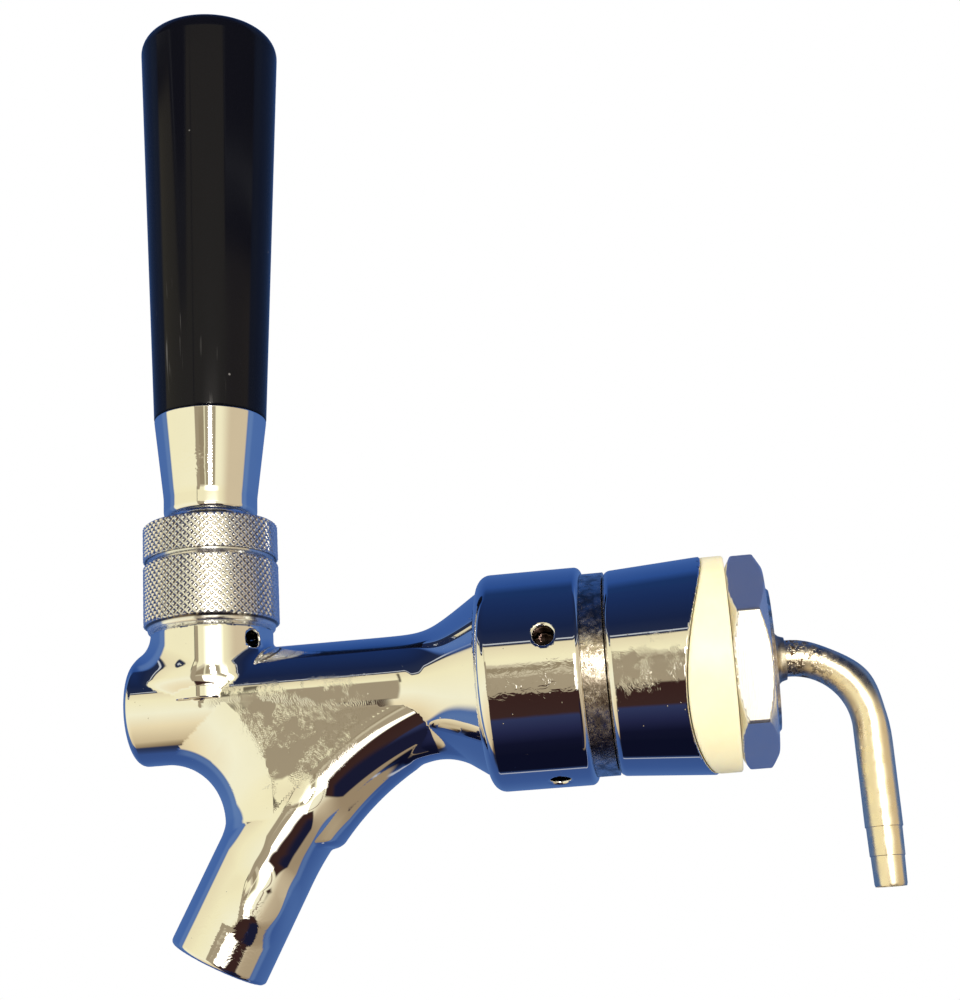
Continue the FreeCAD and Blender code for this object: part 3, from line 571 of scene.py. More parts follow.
WEB_FRONT = (-94.5, -21.2, 11.4)
BARREL_RADIUS = 9.8
FLARE_RADIUS = 16.4
FLARE_END = -34.1
NECK_RADIUS = 11.1
NECK_FOOT = -1.5
NECK_SHOULDER = 13.3
NECK_THREAD = 10.6
SEAT_X = -50.9
WELL_RADIUS = 7.6
CUP_RADIUS, CUP_FLOOR = 9.0, 22.0
GUIDE_RADIUS, GUIDE_FRONT, GUIDE_REAR = 5.02, -97.4, -71.0
BORE_RADIUS, BORE_FRONT = 5.6, -71.2
CHAMBER_RADIUS = 9.2
TAIL_RADIUS, TAIL_OVERLAP = 11.8, 8
SNAP_GROOVE_FLOOR, SNAP_GROOVE_X, SNAP_GROOVE_HALF = 11.1, -29.8, 0.6
MILLED_FOOT, MILLED_HEAD = -26.5, 1
RIDGE_RADIUS, RIDGE_FOOT, RIDGE_REAR = 5.6, -26.6, -46.0
VENT_RADIUS, VENT_HEIGHT, VENT_TURN = 1.55, 10.6, math.radians(33.0)


def above_mouth(x, z):
    """Height above the spout's tip, along its straight run."""
    return (x - SPOUT_TIP[0]) * SPOUT_UP[0] + (z - SPOUT_TIP[2]) * SPOUT_UP[1]


def centreline(x, z, sweep):
    """Distance in the XZ plane to the spout's centreline, out to an arc's sweep."""
    angle = np.clip(np.arctan2(z - BEND_Z, x - BEND_X), ARC_START - sweep, ARC_START)
    to_arc = np.hypot(x - BEND_X - SPOUT_BEND * np.cos(angle),
                      z - BEND_Z - SPOUT_BEND * np.sin(angle))
    along = np.clip(above_mouth(x, z), -SPOUT_OVERRUN, SPOUT_RUN)
    to_run = np.hypot(x - SPOUT_TIP[0] - along * SPOUT_UP[0],
                      z - SPOUT_TIP[2] - along * SPOUT_UP[1])
    return np.minimum(to_arc, to_run)


def right_of_spout(x, z):
    """Signed distance across the spout's centreline, positive on the column's side."""
    on_arc = np.arctan2(z - BEND_Z, x - BEND_X) < ARC_START
    past_arc = SPOUT_BEND - np.hypot(x - BEND_X, z - BEND_Z)
    past_run = (x - SPOUT_TIP[0]) * SPOUT_UP[1] - (z - SPOUT_TIP[2]) * SPOUT_UP[0]
    return np.where(on_arc, past_arc, past_run)


def web_plate(x, y, z):
    """The web between barrel and spout: a rounded front, milled flat on both faces."""
    front_x, front_z, front_radius = WEB_FRONT
    depth = np.hypot(x - front_x, z - front_z) - front_radius
    across = right_of_spout(x, z)
    flat_start = 13.2 + 0.13 * z
    overrun = 1.6
    curve = flat_start + overrun
    flat_half = SPOUT_RADIUS - 0.03 + 0.78 * np.clip((-across - 0.5) / 15.5, 0, 1)
    round_half = flat_half / np.sqrt(1 - (overrun / curve) ** 2)
    u = np.maximum(curve - depth, 0) / curve
    plate = (np.hypot(u, np.abs(y) / round_half) - 1) * round_half
    plate = np.maximum(plate, np.abs(y) - flat_half)
    plate = np.maximum(plate, across + 0.6)
    plate = np.maximum(plate, np.maximum(z - MILLED_HEAD, MILLED_FOOT - z))
    return np.maximum(plate, front_x - x)


def passages(x, y, z):
    """The hollows: lever well, bearing cup, shaft guide, beer passage, chamber and spout."""
    rho = np.hypot(y, z)
    from_neck = np.hypot(x - NECK_X, y)
    well = np.maximum(from_neck - WELL_RADIUS, -z)
    cup = np.maximum(from_neck - CUP_RADIUS, CUP_FLOOR - z)
    guide = np.maximum(rho - GUIDE_RADIUS, np.maximum(GUIDE_FRONT - x, x - GUIDE_REAR))
    bore = np.maximum(rho - BORE_RADIUS, np.maximum(BORE_FRONT - x, x - SEAT_X))
    chamber = np.maximum(rho - CHAMBER_RADIUS, SEAT_X - x)
    spout = np.hypot(centreline(x, z, PASSAGE_SWEEP), y) - SPOUT_BORE
    spaces = (well, cup, guide, bore, chamber, spout)
    return np.minimum.reduce(spaces)


def body_distance(x, y, z):
    """The whole casting: flared barrel, tail, neck, web, spout and ridge, less the hollows."""
    rho = np.hypot(y, z)
    from_neck = np.hypot(x - NECK_X, y)
    cone = BARREL_RADIUS + 1.072 * np.logaddexp(0, (x + 45.1) / 1.6)
    cone = -round_max(-cone, np.full_like(cone, -FLARE_RADIUS), 1.0)
    barrel = (rho - cone) * 0.86
    barrel = round_max(barrel, BODY_LOW[0] - x, 1.6)
    barrel = round_max(barrel, x - FLARE_END, 0.3)
    tail = np.maximum(rho - TAIL_RADIUS, x - BODY_HIGH[0])
    tail = np.maximum(tail, FLARE_END - TAIL_OVERLAP - x)
    groove = np.maximum(SNAP_GROOVE_FLOOR - rho, np.abs(x - SNAP_GROOVE_X) - SNAP_GROOVE_HALF)
    tail = np.maximum(tail, -groove)
    neck = from_neck - NECK_RADIUS + 1.4 * soft_step(-z, -6.0, 2.0)
    neck = round_max(np.maximum(neck, NECK_FOOT - z), z - NECK_SHOULDER, 0.4)
    thread = np.maximum(from_neck - NECK_THREAD, np.maximum(-z, z - BODY_HIGH[2]))
    rear_side = soft_step(x, NECK_X - 4, NECK_X + 6)
    solid = round_min(barrel, neck, 0.01 + (3.4 - 1.9 * rear_side) * soft_step(z, 0.0, 4.0))
    solid = np.minimum(solid, web_plate(x, y, z))

    spout = np.hypot(centreline(x, z, OUTSIDE_SWEEP), y) - SPOUT_RADIUS
    across = right_of_spout(x, z)
    corner = (soft_step(-across, 4.0, 8.0) * soft_step(-z, 15.0, 19.0)
              * soft_step(z, -27.0, -22.0))
    under_arm = (soft_step(x, -62.0, -46.0) * soft_step(across, 0.0, 8.0)
                 * soft_step(-np.abs(y), -7.5, -3.0))
    solid = round_min(solid, spout, 0.01 + 4.6 * under_arm + 0.6 * corner)
    ridge_reach = SPOUT_BEND - 4.8 + 0.06 * (x + 62.0)
    ridge = np.hypot(np.hypot(x - BEND_X, z - BEND_Z) - ridge_reach, y) - RIDGE_RADIUS
    ridge = round_max(ridge, RIDGE_FOOT - z, 1.0)
    ridge = round_max(ridge, x - RIDGE_REAR, 3.0)
    solid = round_min(solid, ridge, 0.35)
    solid = round_max(solid, -above_mouth(x, z), 0.8)
    solid = np.minimum(np.minimum(solid, thread), tail)

    solid = round_max(solid, -passages(x, y, z), 0.35)
    for side in (-1, 1):
        out_x, out_y = math.cos(VENT_TURN), side * math.sin(VENT_TURN)
        along = (x - NECK_X) * out_x + y * out_y
        aside = -(x - NECK_X) * out_y + y * out_x
        vent = np.maximum(np.hypot(aside, z - VENT_HEIGHT) - VENT_RADIUS, -along)
        solid = round_max(solid, -vent, 0.3)
    return solid


def make_body():
    low = (BODY_LOW[0], -FLARE_RADIUS, BODY_LOW[2])
    high = (BODY_HIGH[0], FLARE_RADIUS, BODY_HIGH[2])
    piece = surface_net("body_casting", body_distance, low, high, 0.42)
    hatches = [((-68, -9, -4), 17, 0.5), ((-72, -9, -12), 12, 1.3)]
    crinkles = [((-80, -9, -40), 8)]
    swells = [((-70, -8, -24), 11), ((-75, -7, -36), 7.5)]
    paint(piece, chrome("chrome_body", hatches, crinkles, swells))
    return piece


# ---- coupling nut, flange, spacer, hex nut

NUT_MOUTH, NUT_MOUTH_REAR = 17.0, -33.3
NUT_LIP = 11.95
NUT_THREAD, NUT_THREAD_FRONT = 14.32, -30.5
SPANNER_RADIUS, SPANNER_DEPTH = 1.75, 3.4
FLANGE_FRONT_RADIUS, FLANGE_FLARE, FLANGE_DEPTH = 17.9, 1.2, 18.67
SPACER_RADIUS = 18.8
HEX_ACROSS_FLATS = 32.4
HEX_CHAMFERS = (16.6, 16.0)


def turned_by(y, z, angle):
    """y and z measured in a frame turned about the shank."""
    return y * math.cos(angle) + z * math.sin(angle), -y * math.sin(angle) + z * math.cos(angle)


def nut_distance(x, y, z):
    rho = np.hypot(y, z)
    radius = NUT_HIGH[2]
    solid = round_max(rho - radius, NUT_LOW[0] - x, 2.3)
    solid = round_max(solid, x - NUT_HIGH[0], 1.2)
    mouth = np.maximum(rho - NUT_MOUTH, x - NUT_MOUTH_REAR)
    lip = rho - NUT_LIP
    thread = np.maximum(rho - NUT_THREAD, NUT_THREAD_FRONT - x)
    solid = round_max(solid, -np.minimum(np.minimum(mouth, lip), thread), 0.35)
    for quarter in range(4):
        outlet, out = mount_mm(f"spanner_hole_{quarter + 1}")
        along = y * out[1] + z * out[2]
        aside = np.hypot(x - outlet[0], y * out[2] - z * out[1])
        hole = np.maximum(aside - SPANNER_RADIUS, radius - SPANNER_DEPTH - along)
        solid = round_max(solid, -hole, 0.55)
    return solid


def flange_distance(x, y, z):
    rho = np.hypot(y, z)
    _, across = turned_by(y, z, SADDLE_TURN)
    side = rho - (FLANGE_FRONT_RADIUS + FLANGE_FLARE * (x - FLANGE_LOW[0]) / FLANGE_DEPTH)
    solid = round_max(side, FLANGE_LOW[0] - x, 1.3)
    saddle = SADDLE_RADIUS - np.hypot(x - SADDLE_RADIUS, across)
    solid = round_max(solid, saddle, 0.3)
    return round_max(solid, SHANK_THREAD - rho, 0.3)


def spacer_distance(x, y, z):
    rho = np.hypot(y, z)
    _, across = turned_by(y, z, SADDLE_TURN)
    crown = np.hypot(x - SADDLE_RADIUS - SPACER_LOW[0], across) - SADDLE_RADIUS
    solid = round_max(rho - SPACER_RADIUS, x - SPACER_HIGH[0], 0.5)
    solid = round_max(solid, crown, 0.4)
    return round_max(solid, SHANK_THREAD - rho, 0.3)


def hex_distance(x, y, z):
    rho = np.hypot(y, z)
    sides = []
    for third in range(3):
        flat, _ = turned_by(y, z, HEX_TURN + third * math.pi / 3)
        sides.append(np.abs(flat) - HEX_ACROSS_FLATS / 2)
    solid = round_max(round_max(sides[0], sides[1], 0.35), sides[2], 0.35)
    solid = round_max(solid, HEX_LOW[0] - x, 0.15)
    solid = round_max(solid, x - HEX_HIGH[0], 0.15)
    cos, sin = math.cos(math.pi / 6), math.sin(math.pi / 6)
    for depth, chamfer_radius in zip((x - HEX_LOW[0], HEX_HIGH[0] - x), HEX_CHAMFERS):
        solid = round_max(solid, (rho - chamfer_radius) * sin - depth * cos, 0.2)
    return round_max(solid, SHANK_THREAD - rho, 0.4)


def make_clamp_pieces(looks):
    radius = NUT_HIGH[2]
    nut = surface_net("coupling_nut_shell", nut_distance, (NUT_LOW[0], -radius, -radius),
                      (NUT_HIGH[0], radius, radius), 0.4)
    crinkles = [((-30, -18.5, -4.5), 5), ((-25, -18.5, -4), 5.5), ((-20, -18.5, -3.5), 6)]
    paint(nut, chrome("chrome_nut", crinkles=crinkles, hole_x=SPANNER_X))
    flange = surface_net("flange_shell", flange_distance, FLANGE_LOW, FLANGE_HIGH, 0.4)
    paint(flange, chrome("chrome_flange", [((-4, -18.5, -2.5), 7, 0.4), ((-9, -18, -3), 6, 0.9)]))
    spacer = surface_net("spacer_moulding", spacer_distance, SPACER_LOW, SPACER_HIGH, 0.45)
    paint(spacer, looks["nylon"])
    hexagon = surface_net("hex_nut_shell", hex_distance, HEX_LOW, HEX_HIGH, 0.36)
    paint(hexagon, looks["satin"])
    return nut, flange, spacer, hexagon


# ---- knurled rings

KNURL_RADIUS = RING_HIGH[1]
KNURL_COUNT = 54
KNURL_RISE = 1.38
KNURL_DEPTH = 0.29
KNURL_STEPS = 10
KNURL_LAND = 0.62
BONNET_BAND = (15.0, 25.75)
LOCK_RING_BAND = (27.1, 33.15)


def knurl_relief(low, high):
    """Depth of a diamond knurl between two heights, below the ring's outside."""
    def depth(angle, radius, height):
        turn = angle * KNURL_COUNT / (2 * math.pi)
        climb = (height - low) / KNURL_RISE
        ridge = np.ones(np.broadcast(turn, climb).shape)
        for lead in (turn + climb, turn - climb):
            ridge = np.minimum(ridge, 1 - np.abs((lead % 1) - 0.5) * 2)
        worn = np.clip(ridge / KNURL_LAND, 0, 1)
        on_knurl = (height > low - 1e-6) & (height < high + 1e-6) & (radius > KNURL_RADIUS - 0.05)
        return KNURL_DEPTH * (1 - worn) * on_knurl
    return depth


def knurled(name, band_heights, outline_below, outline_above):
    """A ring with a knurled band between two heights; the outlines give the rest."""
    foot, head = band_heights
    rows = int(round((head - foot) / KNURL_RISE * KNURL_STEPS))
    heights = np.linspace(foot, head, rows + 1)
    below, below_normals = rounded(outline_below, closed=False, steps=4)
    above, above_normals = rounded(outline_above, closed=False, steps=4)
    band = np.stack([np.full(rows + 1, KNURL_RADIUS), heights], axis=1)
    band_normals = np.tile((1.0, 0.0), (rows + 1, 1))
    profile = np.concatenate([below, band, above])
    normals = np.concatenate([below_normals, band_normals, above_normals])
    ring = lathe(name, (profile, normals), segments=KNURL_COUNT * KNURL_STEPS,
                 origin=(NECK_X, 0, 0), relief=knurl_relief(foot, head))
    ring.data.set_sharp_from_angle(angle=math.radians(28))
    return ring


def make_rings(looks):
    edge = KNURL_RADIUS - 0.35
    bonnet = knurled(
        "bonnet_knurled", BONNET_BAND,
        [(10.65, 13.6, 0), (11.5, 13.6, 0.45), (11.7, 14.45, 0.2), (edge, 14.8, 0.1)],
        [(edge, 25.95, 0), (10.4, 25.95, 0.2), (10.4, 31.8, 0.3), (6.0, 31.8, 0.3), (6.0, 30.4, 0.1),
         (9.0, 30.4, 0.1), (9.0, 24.8, 0.1), (10.65, 24.8, 0.1)])
    ring = knurled(
        "lock_ring_knurled", LOCK_RING_BAND,
        [(10.43, 32.0, 0), (10.43, 26.9, 0.2), (edge, 26.9, 0)],
        [(edge, 33.4, 0), (11.3, 33.4, 0.3)])
    for piece in (bonnet, ring):
        paint(piece, looks["knurl"])
    return bonnet, ring


# ---- handle

def make_handle(looks):
    grip_profile = rounded([
        (0, 52.0, 0), (3.5, 52.0, 0.1), (3.5, 32.3, 0.1), (7.0, 32.3, 0.1), (7.0, 27.3, 0.1),
        (10.5, 27.3, 0.35), (12.0, 66.0, 90.0), (13.6, 107.65, 5.2), (6.0, 108.17, 6.0), (0, 108.19, 0),
    ], closed=False, steps=14)
    grip = lathe("grip_moulding", grip_profile, closed=False, origin=PIVOT, lean=REST_LEAN)
    paint(grip, looks["plastic"])
    ferrule_profile = rounded([
        (4.76, 7.6, 0.3), (8.63, 7.6, 2.1), (8.65, 12.0, 14.0), (10.48, 27.25, 0.3),
        (6.97, 27.25, 0.1), (6.97, 32.25, 0.1), (3.97, 32.25, 0.1), (3.97, 19.4, 0.1),
        (4.76, 19.4, 0.1),
    ], steps=10)
    ferrule = lathe("ferrule_turned", ferrule_profile, origin=PIVOT, lean=REST_LEAN)
    paint(ferrule, chrome("chrome_ferrule", crinkles=[((NECK_X - 1, -9, 44), 4)]))
    return grip, ferrule


# ---- hose tail

ELBOW_START = 17.5
ELBOW_BEND = 12.9
TUBE_RADIUS = 3.175
TUBE_BORE = 2.5
TUBE_SIDES = 64
BARB_STEP = 0.1
LONG_BARB, LONG_BARB_RADII = 9.8, (3.02, 2.94)
SHORT_BARB, SHORT_BARB_RADII = 5.0, (2.82, 2.72)
TIP_CHAMFER, TIP_RADIUS = 0.4, 2.6
# how far the tube stands out or lies flat on the bend's outside: share, place, width
KINKS = ((0.10, 0.60, 0.13), (-0.11, 0.30, 0.15), (-0.11, 0.88, 0.13))


def elbow_centre(distance):
    """Centre and direction a given distance along the tube, in the XZ plane."""
    if distance < ELBOW_START:
        return np.array((distance, 0, 0)), np.array((1, 0, 0))
    turn = (distance - ELBOW_START) / ELBOW_BEND
    if turn < math.pi / 2:
        x = ELBOW_START + ELBOW_BEND * math.sin(turn)
        z = -ELBOW_BEND * (1 - math.cos(turn))
        return np.array((x, 0, z)), np.array((math.cos(turn), 0, -math.sin(turn)))
    drop = distance - ELBOW_START - ELBOW_BEND * math.pi / 2
    return np.array((ELBOW_START + ELBOW_BEND, 0, -ELBOW_BEND - drop)), np.array((0, 0, -1))


def make_elbow(looks):
    """Bent tube with a wall, a little flat on the outside of its bend, and two barbs."""
    bend_end = ELBOW_START + ELBOW_BEND * math.pi / 2
    full = bend_end + (-ELBOW_BEND - TAIL_LOW[2])
    plain_end = full - LONG_BARB
    mid_barb = full - SHORT_BARB
    stations = list(np.linspace(TAIL_LOW[0], ELBOW_START, 8))
    stations += list(np.linspace(ELBOW_START, bend_end, 40)[1:])
    stations += list(np.linspace(bend_end, plain_end, 16)[1:])
    outside = [(s, TUBE_RADIUS) for s in stations]
    outside += [(plain_end + BARB_STEP, LONG_BARB_RADII[0]), (mid_barb, LONG_BARB_RADII[1])]
    outside += [(mid_barb + BARB_STEP, SHORT_BARB_RADII[0]), (full - TIP_CHAMFER, SHORT_BARB_RADII[1])]
    outside += [(full, TIP_RADIUS)]
    inside = [(full, TUBE_BORE)] + [(s, TUBE_BORE) for s in reversed(stations)]
    points = []
    for distance, radius in outside + inside:
        centre, along = elbow_centre(distance)
        outward = np.array((-along[2], 0, along[0]))
        side = np.array((0, 1, 0))
        turned = (distance - ELBOW_START) / (bend_end - ELBOW_START)
        kink = sum(share * math.exp(-((turned - at_turn) / width) ** 2)
                   for share, at_turn, width in KINKS)
        for k in range(TUBE_SIDES):
            a = 2 * math.pi * k / TUBE_SIDES
            flat = 1 + kink * max(math.cos(a), 0) ** 3
            points.append(centre + radius * (flat * math.cos(a) * outward - math.sin(a) * side))
    rings = len(outside) + len(inside)
    faces = []
    for i in range(rings):
        here, there = i * TUBE_SIDES, (i + 1) % rings * TUBE_SIDES
        for k in range(TUBE_SIDES):
            n = (k + 1) % TUBE_SIDES
            faces.append((here + k, here + n, there + n, there + k))
    tube = add_mesh("tail_tube", np.array(points), faces)
    tube.data.set_sharp_from_angle(angle=math.radians(35))
    paint(tube, looks["tube"])
    return tube


def make_solder(looks):
    """An uneven bead of solder round the tube's root."""
    foot = SHANK_HIGH[0] + 0.03
    profile = rounded([
        (3.5, foot, 0.05), (5.1, foot, 0.3), (4.0, foot + 0.65, 1.2), (3.65, foot + 1.85, 0.2),
        (3.5, foot + 1.85, 0.05),
    ], steps=5)
    bead = lathe("solder_bead", profile, segments=96, axis="X")
    rng = np.random.default_rng(4)
    phases = rng.uniform(0, 2 * math.pi, 5)
    for vertex in bead.data.vertices:
        angle = math.atan2(vertex.co.z, vertex.co.y)
        wave = sum(math.sin((n + 2) * angle + p) for n, p in enumerate(phases)) / 5
        away = (math.hypot(vertex.co.y, vertex.co.z) / MM - 3.5) / 1.6
        swell = 1 + 0.10 * wave * min(max(away, 0), 1)
        vertex.co.y *= swell
        vertex.co.z *= swell
    paint(bead, looks["solder"])
    return bead


# ---- stage, light and camera

def make_stage():
    """A pale floor well below the object, which mirror rays do not see."""
    side = 0.9
    floor_z = BODY_LOW[2] * MM - 0.08
    corners = [(x * side, y * side, floor_z) for x, y in ((-1, -1), (1, -1), (1, 1), (-1, 1))]
    mesh = bpy.data.meshes.new("floor")
    mesh.from_pydata(corners, [], [(0, 1, 2, 3)])
    floor = bpy.data.objects.new("floor", mesh)
    bpy.context.scene.collection.objects.link(floor)
    paint(floor, pale_floor())
    floor.visible_glossy = False


def at(degrees):
    """Place on a ramp that runs from straight down at 0 to straight up at 1."""
    return 0.5 + degrees / 180


class Directions(Graph):
    """Where a ray goes, in degrees: rise above level, and aside from the front towards +X."""

    def __init__(self, tree):
        super().__init__(tree)
        self.ray = self.node("ShaderNodeTexCoord").outputs["Generated"]
        across, depth, up = self.parts_of(self.ray)
        self.across = across
        self.rise = self.times(self.math("ARCSINE", up), 180 / math.pi)
        self.aside = self.times(self.math("ARCTAN2", across, self.times(depth, -1.0)), 180 / math.pi)
        self.height = self.math("ADD", self.times(self.rise, 1 / 180), 0.5)

    def window(self, value, low, high, soft):
        """1 between two values and 0 beyond them, with soft edges."""
        return self.times(self.band(value, low - soft, low + soft),
                          self.band(value, high - soft, high + soft, 1.0, 0.0))

    def pane(self, sides, heights, soft_sides, soft_heights):
        """1 inside a patch between two sides and two heights, in degrees."""
        return self.times(self.window(self.aside, *sides, soft_sides),
                          self.window(self.rise, *heights, soft_heights))

    def ramp(self, stops):
        """A colour for each height, from (place, colour) stops."""
        made = self.node("ShaderNodeValToRGB", {0: self.height})
        line = made.color_ramp
        for element, (position, colour) in zip(line.elements, (stops[0], stops[-1])):
            element.position, element.color = position, (*colour, 1)
        for position, colour in stops[1:-1]:
            line.elements.new(position).color = (*colour, 1)
        return made.outputs[0]


def sunlit_ground(g):
    """Cream ground, brown to the right, with a striped tan patch and thin lines in front."""
    ground = g.ramp([
        (0.0, (0.10, 0.06, 0.03)), (at(-74), (0.16, 0.10, 0.05)), (at(-66), (0.62, 0.49, 0.29)),
        (at(-38), (0.88, 0.74, 0.46)), (at(-12), (0.97, 0.92, 0.66)), (at(14), (0.95, 0.87, 0.55)),
        (at(32), (0.78, 0.66, 0.42)), (1.0, (0.70, 0.60, 0.40))])
    brown = g.blend(g.band(g.rise, -48.0, -12.0), (0.34, 0.25, 0.15, 1), (0.66, 0.54, 0.35, 1))
    ground = g.blend(g.band(g.aside, 34.0, 62.0), ground, brown)
    lowered = g.math("SUBTRACT", g.rise, g.band(g.aside, -10.5, -8.5, 4.2, 0.0))
    tan = g.times(g.window(g.aside, -15.8, 3.0, 1.0), g.window(lowered, -28.0, 8.8, 1.2))
    dim, pale = (0.32, 0.255, 0.155), (0.60, 0.52, 0.35)
    stripes = g.ramp([
        (0.0, (0.38, 0.31, 0.20)), (at(-4), (0.40, 0.325, 0.21)), (at(-2.5), pale),
        (at(0.5), pale), (at(1.5), dim), (at(5.5), dim), (at(6.5), pale), (at(10), pale),
        (at(11), dim), (1.0, dim)])
    striped = g.blend(g.band(g.aside, -9.0, -7.5), (0.375, 0.305, 0.195, 1), stripes)
    ground = g.blend(tan, ground, striped)
    ground = g.blend(g.pane((5.0, 27.0), (1.0, 6.6), 1.5, 1.6), ground, (0.36, 0.30, 0.18, 1))
    line = g.pane((-17.0, -15.6), (8.5, 26.0), 0.5, 2.0)
    return g.blend(g.times(line, 0.9), ground, (0.06, 0.045, 0.03, 1))


def add_figure(g, ground):
    """A dark area in the place and colours of the clothing that the photo's chrome mirrors."""
    clothing = g.ramp([
        (0.0, (0.004, 0.005, 0.016)), (at(-76), (0.006, 0.007, 0.024)),
        (at(-63), (0.017, 0.020, 0.062)), (at(-49), (0.030, 0.039, 0.102)),
        (at(-46), (0.045, 0.021, 0.018)), (at(-26), (0.042, 0.018, 0.015)),
        (1.0, (0.042, 0.018, 0.015))])
    toward_hem = g.times(g.band(g.aside, 18.0, 32.0), g.band(g.rise, -38.0, -29.0, 1.0, 0.0))
    clothing = g.blend(toward_hem, clothing, (0.010, 0.011, 0.032, 1))
    flank = g.math("ADD", g.aside, g.times(g.math("ADD", g.rise, 25.0), 0.84))
    in_front = g.times(g.band(g.across, -0.23, -0.19), g.band(flank, 45.0, 51.0, 1.0, 0.0))
    stepped = g.math("ADD", g.rise, g.band(g.aside, 2.0, 9.0, 0.0, -3.0))
    figure = g.times(in_front, g.band(stepped, -24.0, -21.5, 1.0, 0.0))
    return g.blend(figure, ground, clothing)


def add_glare(g, ground):
    """Two patches brighter than white, the lower one crossed by a brown bar."""
    high = g.pane((6.0, 31.0), (7.4, 14.5), 8.0, 1.5)
    low = g.pane((1.2, 28.0), (-20.5, -3.0), 1.0, 3.0)
    ground = g.blend(g.math("MAXIMUM", high, low), ground, (2.6, 2.4, 2.0, 1))
    bar = g.times(g.times(g.window(g.rise, -16.6, -15.5, 0.5), 0.85), g.band(g.aside, 6.0, 12.0))
    return g.blend(bar, ground, (0.16, 0.07, 0.05, 1))


def add_overhead(g, ground):
    """Dark blue above a skyline that drops at both sides, with a pale strip over its edge."""
    overhead = g.ramp([
        (0.0, (0.012, 0.024, 0.070)), (at(25), (0.022, 0.030, 0.062)),
        (at(45), (0.010, 0.019, 0.062)), (at(75), (0.011, 0.028, 0.105)),
        (1.0, (0.013, 0.036, 0.130))])
    steps = g.math("ADD", g.band(g.aside, -30.0, -21.0, -9.0, 0.0),
                   g.band(g.aside, 36.0, 46.0, 0.0, -9.0))
    skyline = g.math("ADD", g.math("ADD", 28.0, steps), g.band(g.aside, -58.0, -40.0, 7.5, 0.0))
    over = g.math("SUBTRACT", g.rise, skyline)
    overhead = g.blend(g.window(over, 2.2, 3.4, 0.4), overhead, (0.62, 0.64, 0.66, 1))
    return g.blend(g.band(over, -0.8, 0.8), ground, overhead)


def blue_behind(g, backward):
    """Blue at the back, near-black low down under a pale seam, with a lighter rim."""
    behind = g.ramp([
        (0.0, (0.008, 0.010, 0.030)), (at(-74), (0.020, 0.022, 0.040)),
        (at(-64), (0.040, 0.085, 0.250)), (at(-40), (0.045, 0.100, 0.290)),
        (at(0), (0.085, 0.170, 0.400)), (at(35), (0.052, 0.125, 0.370)),
        (at(68), (0.026, 0.078, 0.280)), (at(80), (0.012, 0.036, 0.130)),
        (1.0, (0.012, 0.034, 0.120))])
    rightward = g.band(g.across, -0.23, -0.17)
    hidden = g.times(rightward, g.band(g.rise, -64.0, -58.0, 1.0, 0.0))
    behind = g.blend(hidden, behind, (0.004, 0.005, 0.018, 1))
    seam = g.times(g.window(g.rise, -60.0, -58.6, 0.6), rightward)
    behind = g.blend(g.times(seam, 0.8), behind, (0.60, 0.62, 0.66, 1))
    rim = g.times(g.window(backward, 0.05, 0.28, 0.08), 0.28)
    rim = g.times(rim, g.window(g.rise, -50.0, 55.0, 6.0))
    return g.blend(rim, behind, (0.22, 0.34, 0.55, 1))


def make_world():
    """White to the camera and plain to diffuse rays; mirror rays see the made-up surrounding."""
    world = bpy.data.worlds.new("studio")
    bpy.context.scene.world = world
    world.use_nodes = True
    world.node_tree.nodes.clear()
    g = Directions(world.node_tree)
    front = add_overhead(g, add_glare(g, add_figure(g, sunlit_ground(g))))
    backward = g.node("ShaderNodeVectorMath", {0: g.ray, 1: (-0.139, 0.990, 0.0)},
                      operation="DOT_PRODUCT").outputs["Value"]
    seen = g.blend(g.band(backward, -0.03, 0.06), front, blue_behind(g, backward))
    rays = g.node("ShaderNodeLightPath").outputs
    soft = g.blend(rays["Is Diffuse Ray"], seen, (0.84, 0.83, 0.82, 1))
    final = g.blend(rays["Is Camera Ray"], soft, (1.0, 1.0, 1.0, 1))
    background = g.node("ShaderNodeBackground", {"Color": final, "Strength": 1.0})
    g.link(background.outputs[0], g.node("ShaderNodeOutputWorld").inputs[0])


def make_lamp():
    """A small warm disk lamp in front, aimed at the object, for the glint of the sun."""
    azimuth, rise, distance = math.radians(14), math.radians(4), 1.5
    data = bpy.data.lights.new("sun_glint", "AREA")
    data.shape = "DISK"
    data.size = 0.16
    data.energy = 15
    data.color = (1.0, 0.95, 0.88)
    lamp = bpy.data.objects.new("sun_glint", data)
    out = Vector((math.sin(azimuth) * math.cos(rise), -math.cos(azimuth) * math.cos(rise),
                  math.sin(rise)))
    lamp.location = Vector((-0.04, 0, 0.01)) + distance * out
    lamp.rotation_euler = out.to_track_quat("Z", "Y").to_euler()
    bpy.context.scene.collection.objects.link(lamp)


def make_camera():
    """Below the shank and a little to the right, turned left, up and slightly rolled."""
    spot = Vector((3.6, -301.0, -52.0)) * MM
    yaw, pitch, roll = math.radians(-7.2), math.radians(15.8), math.radians(-3.6)
    ahead = Vector((math.sin(yaw) * math.cos(pitch), math.cos(yaw) * math.cos(pitch),
                    math.sin(pitch)))
    level = ahead.cross(Vector((0, 0, 1))).normalized()
    above = level.cross(ahead)
    right = level * math.cos(roll) + above * math.sin(roll)
    up = -level * math.sin(roll) + above * math.cos(roll)
    data = bpy.data.cameras.new("camera")
    data.sensor_width = 36.0
    data.lens = 62.17
    data.clip_start = 0.01
    camera = bpy.data.objects.new("camera", data)
    turn = Matrix((right, up, -ahead)).transposed()
    camera.matrix_world = Matrix.Translation(spot) @ turn.to_4x4()
    bpy.context.scene.collection.objects.link(camera)
    bpy.context.scene.camera = camera


# ---- build

bpy.context.scene.view_settings.view_transform = "Standard"
make_camera()
make_world()
make_lamp()
make_stage()

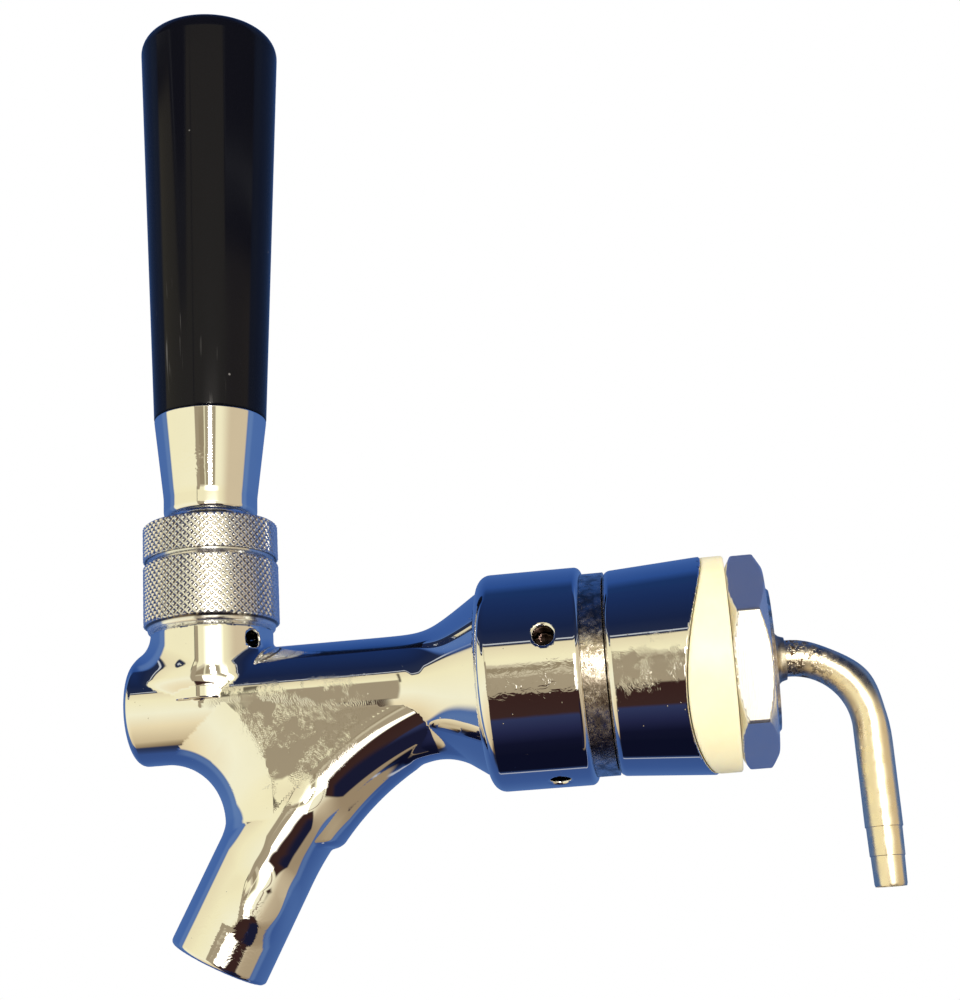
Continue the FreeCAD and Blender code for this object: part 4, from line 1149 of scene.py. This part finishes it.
LOOKS = {
    "plastic": black_plastic(),
    "knurl": nickel_knurl(),
    "satin": satin_nickel(),
    "tube": stainless_tube(),
    "nylon": ivory_nylon(),
    "brass": hidden_look("brass_turned", 1.0, (0.62, 0.44, 0.17, 1), (0.82, 0.64, 0.30, 1),
                         (200.0, 500.0, 900.0), (0.18, 0.34), 0.1),
    "rubber": hidden_look("rubber_black", 0.0, (0.012, 0.012, 0.012, 1), (0.03, 0.03, 0.03, 1),
                          (300.0, 700.0, 1500.0), (0.55, 0.75), 0.2),
    "collar": rough_plate("collar_rough", (0.42, 0.36, 0.30, 1), (0.99, 0.93, 0.84, 1),
                          0.12, 0.28, 1500.0, 0.00009),
    "steel": rough_plate("steel_plain", (0.45, 0.45, 0.44, 1), (0.70, 0.69, 0.67, 1),
                         0.2, 0.35, 500.0, 0.00004),
    "solder": rough_plate("solder_dull", (0.40, 0.34, 0.26, 1), (0.80, 0.74, 0.62, 1),
                          0.3, 0.5, 700.0, 0.0001),
}

body = make_body()
nut, flange, spacer, hexagon = make_clamp_pieces(LOOKS)
bonnet, lock_ring = make_rings(LOOKS)
grip, ferrule = make_handle(LOOKS)
tube = make_elbow(LOOKS)
bead = make_solder(LOOKS)

PIECES = [
    (body, "root", "faucet_body", "chrome_plate"),
    (nut, "root", "coupling_nut", "chrome_plate"),
    (flange, "root", "column_flange", "chrome_plate"),
    (spacer, "root", "column_spacer", "nylon"),
    (hexagon, "root", "hex_nut", "satin_nickel"),
    (bonnet, "root", "bonnet", "nickel_knurl"),
    (lock_ring, "root", "bonnet_lock_ring", "nickel_knurl"),
    (tube, "root", "tail_elbow", "stainless_steel"),
    (bead, "root", "solder_fillet", "solder"),
    (grip, "lever", "handle_grip", "grip_plastic"),
    (ferrule, "lever", "handle_ferrule", "chrome_plate"),
]
for piece, carrier, node, slot in PIECES:
    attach(piece, carrier)
    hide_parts(node)

KEPT = {
    "shank": "collar",
    "lever": "steel",
    "handle_stud": "steel",
    "coupling_snap_ring": "steel",
    "friction_washer": "brass",
    "bearing_cup": "brass",
    "valve_shaft": "brass",
    "shaft_nut": "brass",
    "ball_washer": "rubber",
    "shaft_seat_washer": "rubber",
    "coupling_gasket": "rubber",
}
for node, look in KEPT.items():
    paint(frame["nodes"][node], LOOKS[look])
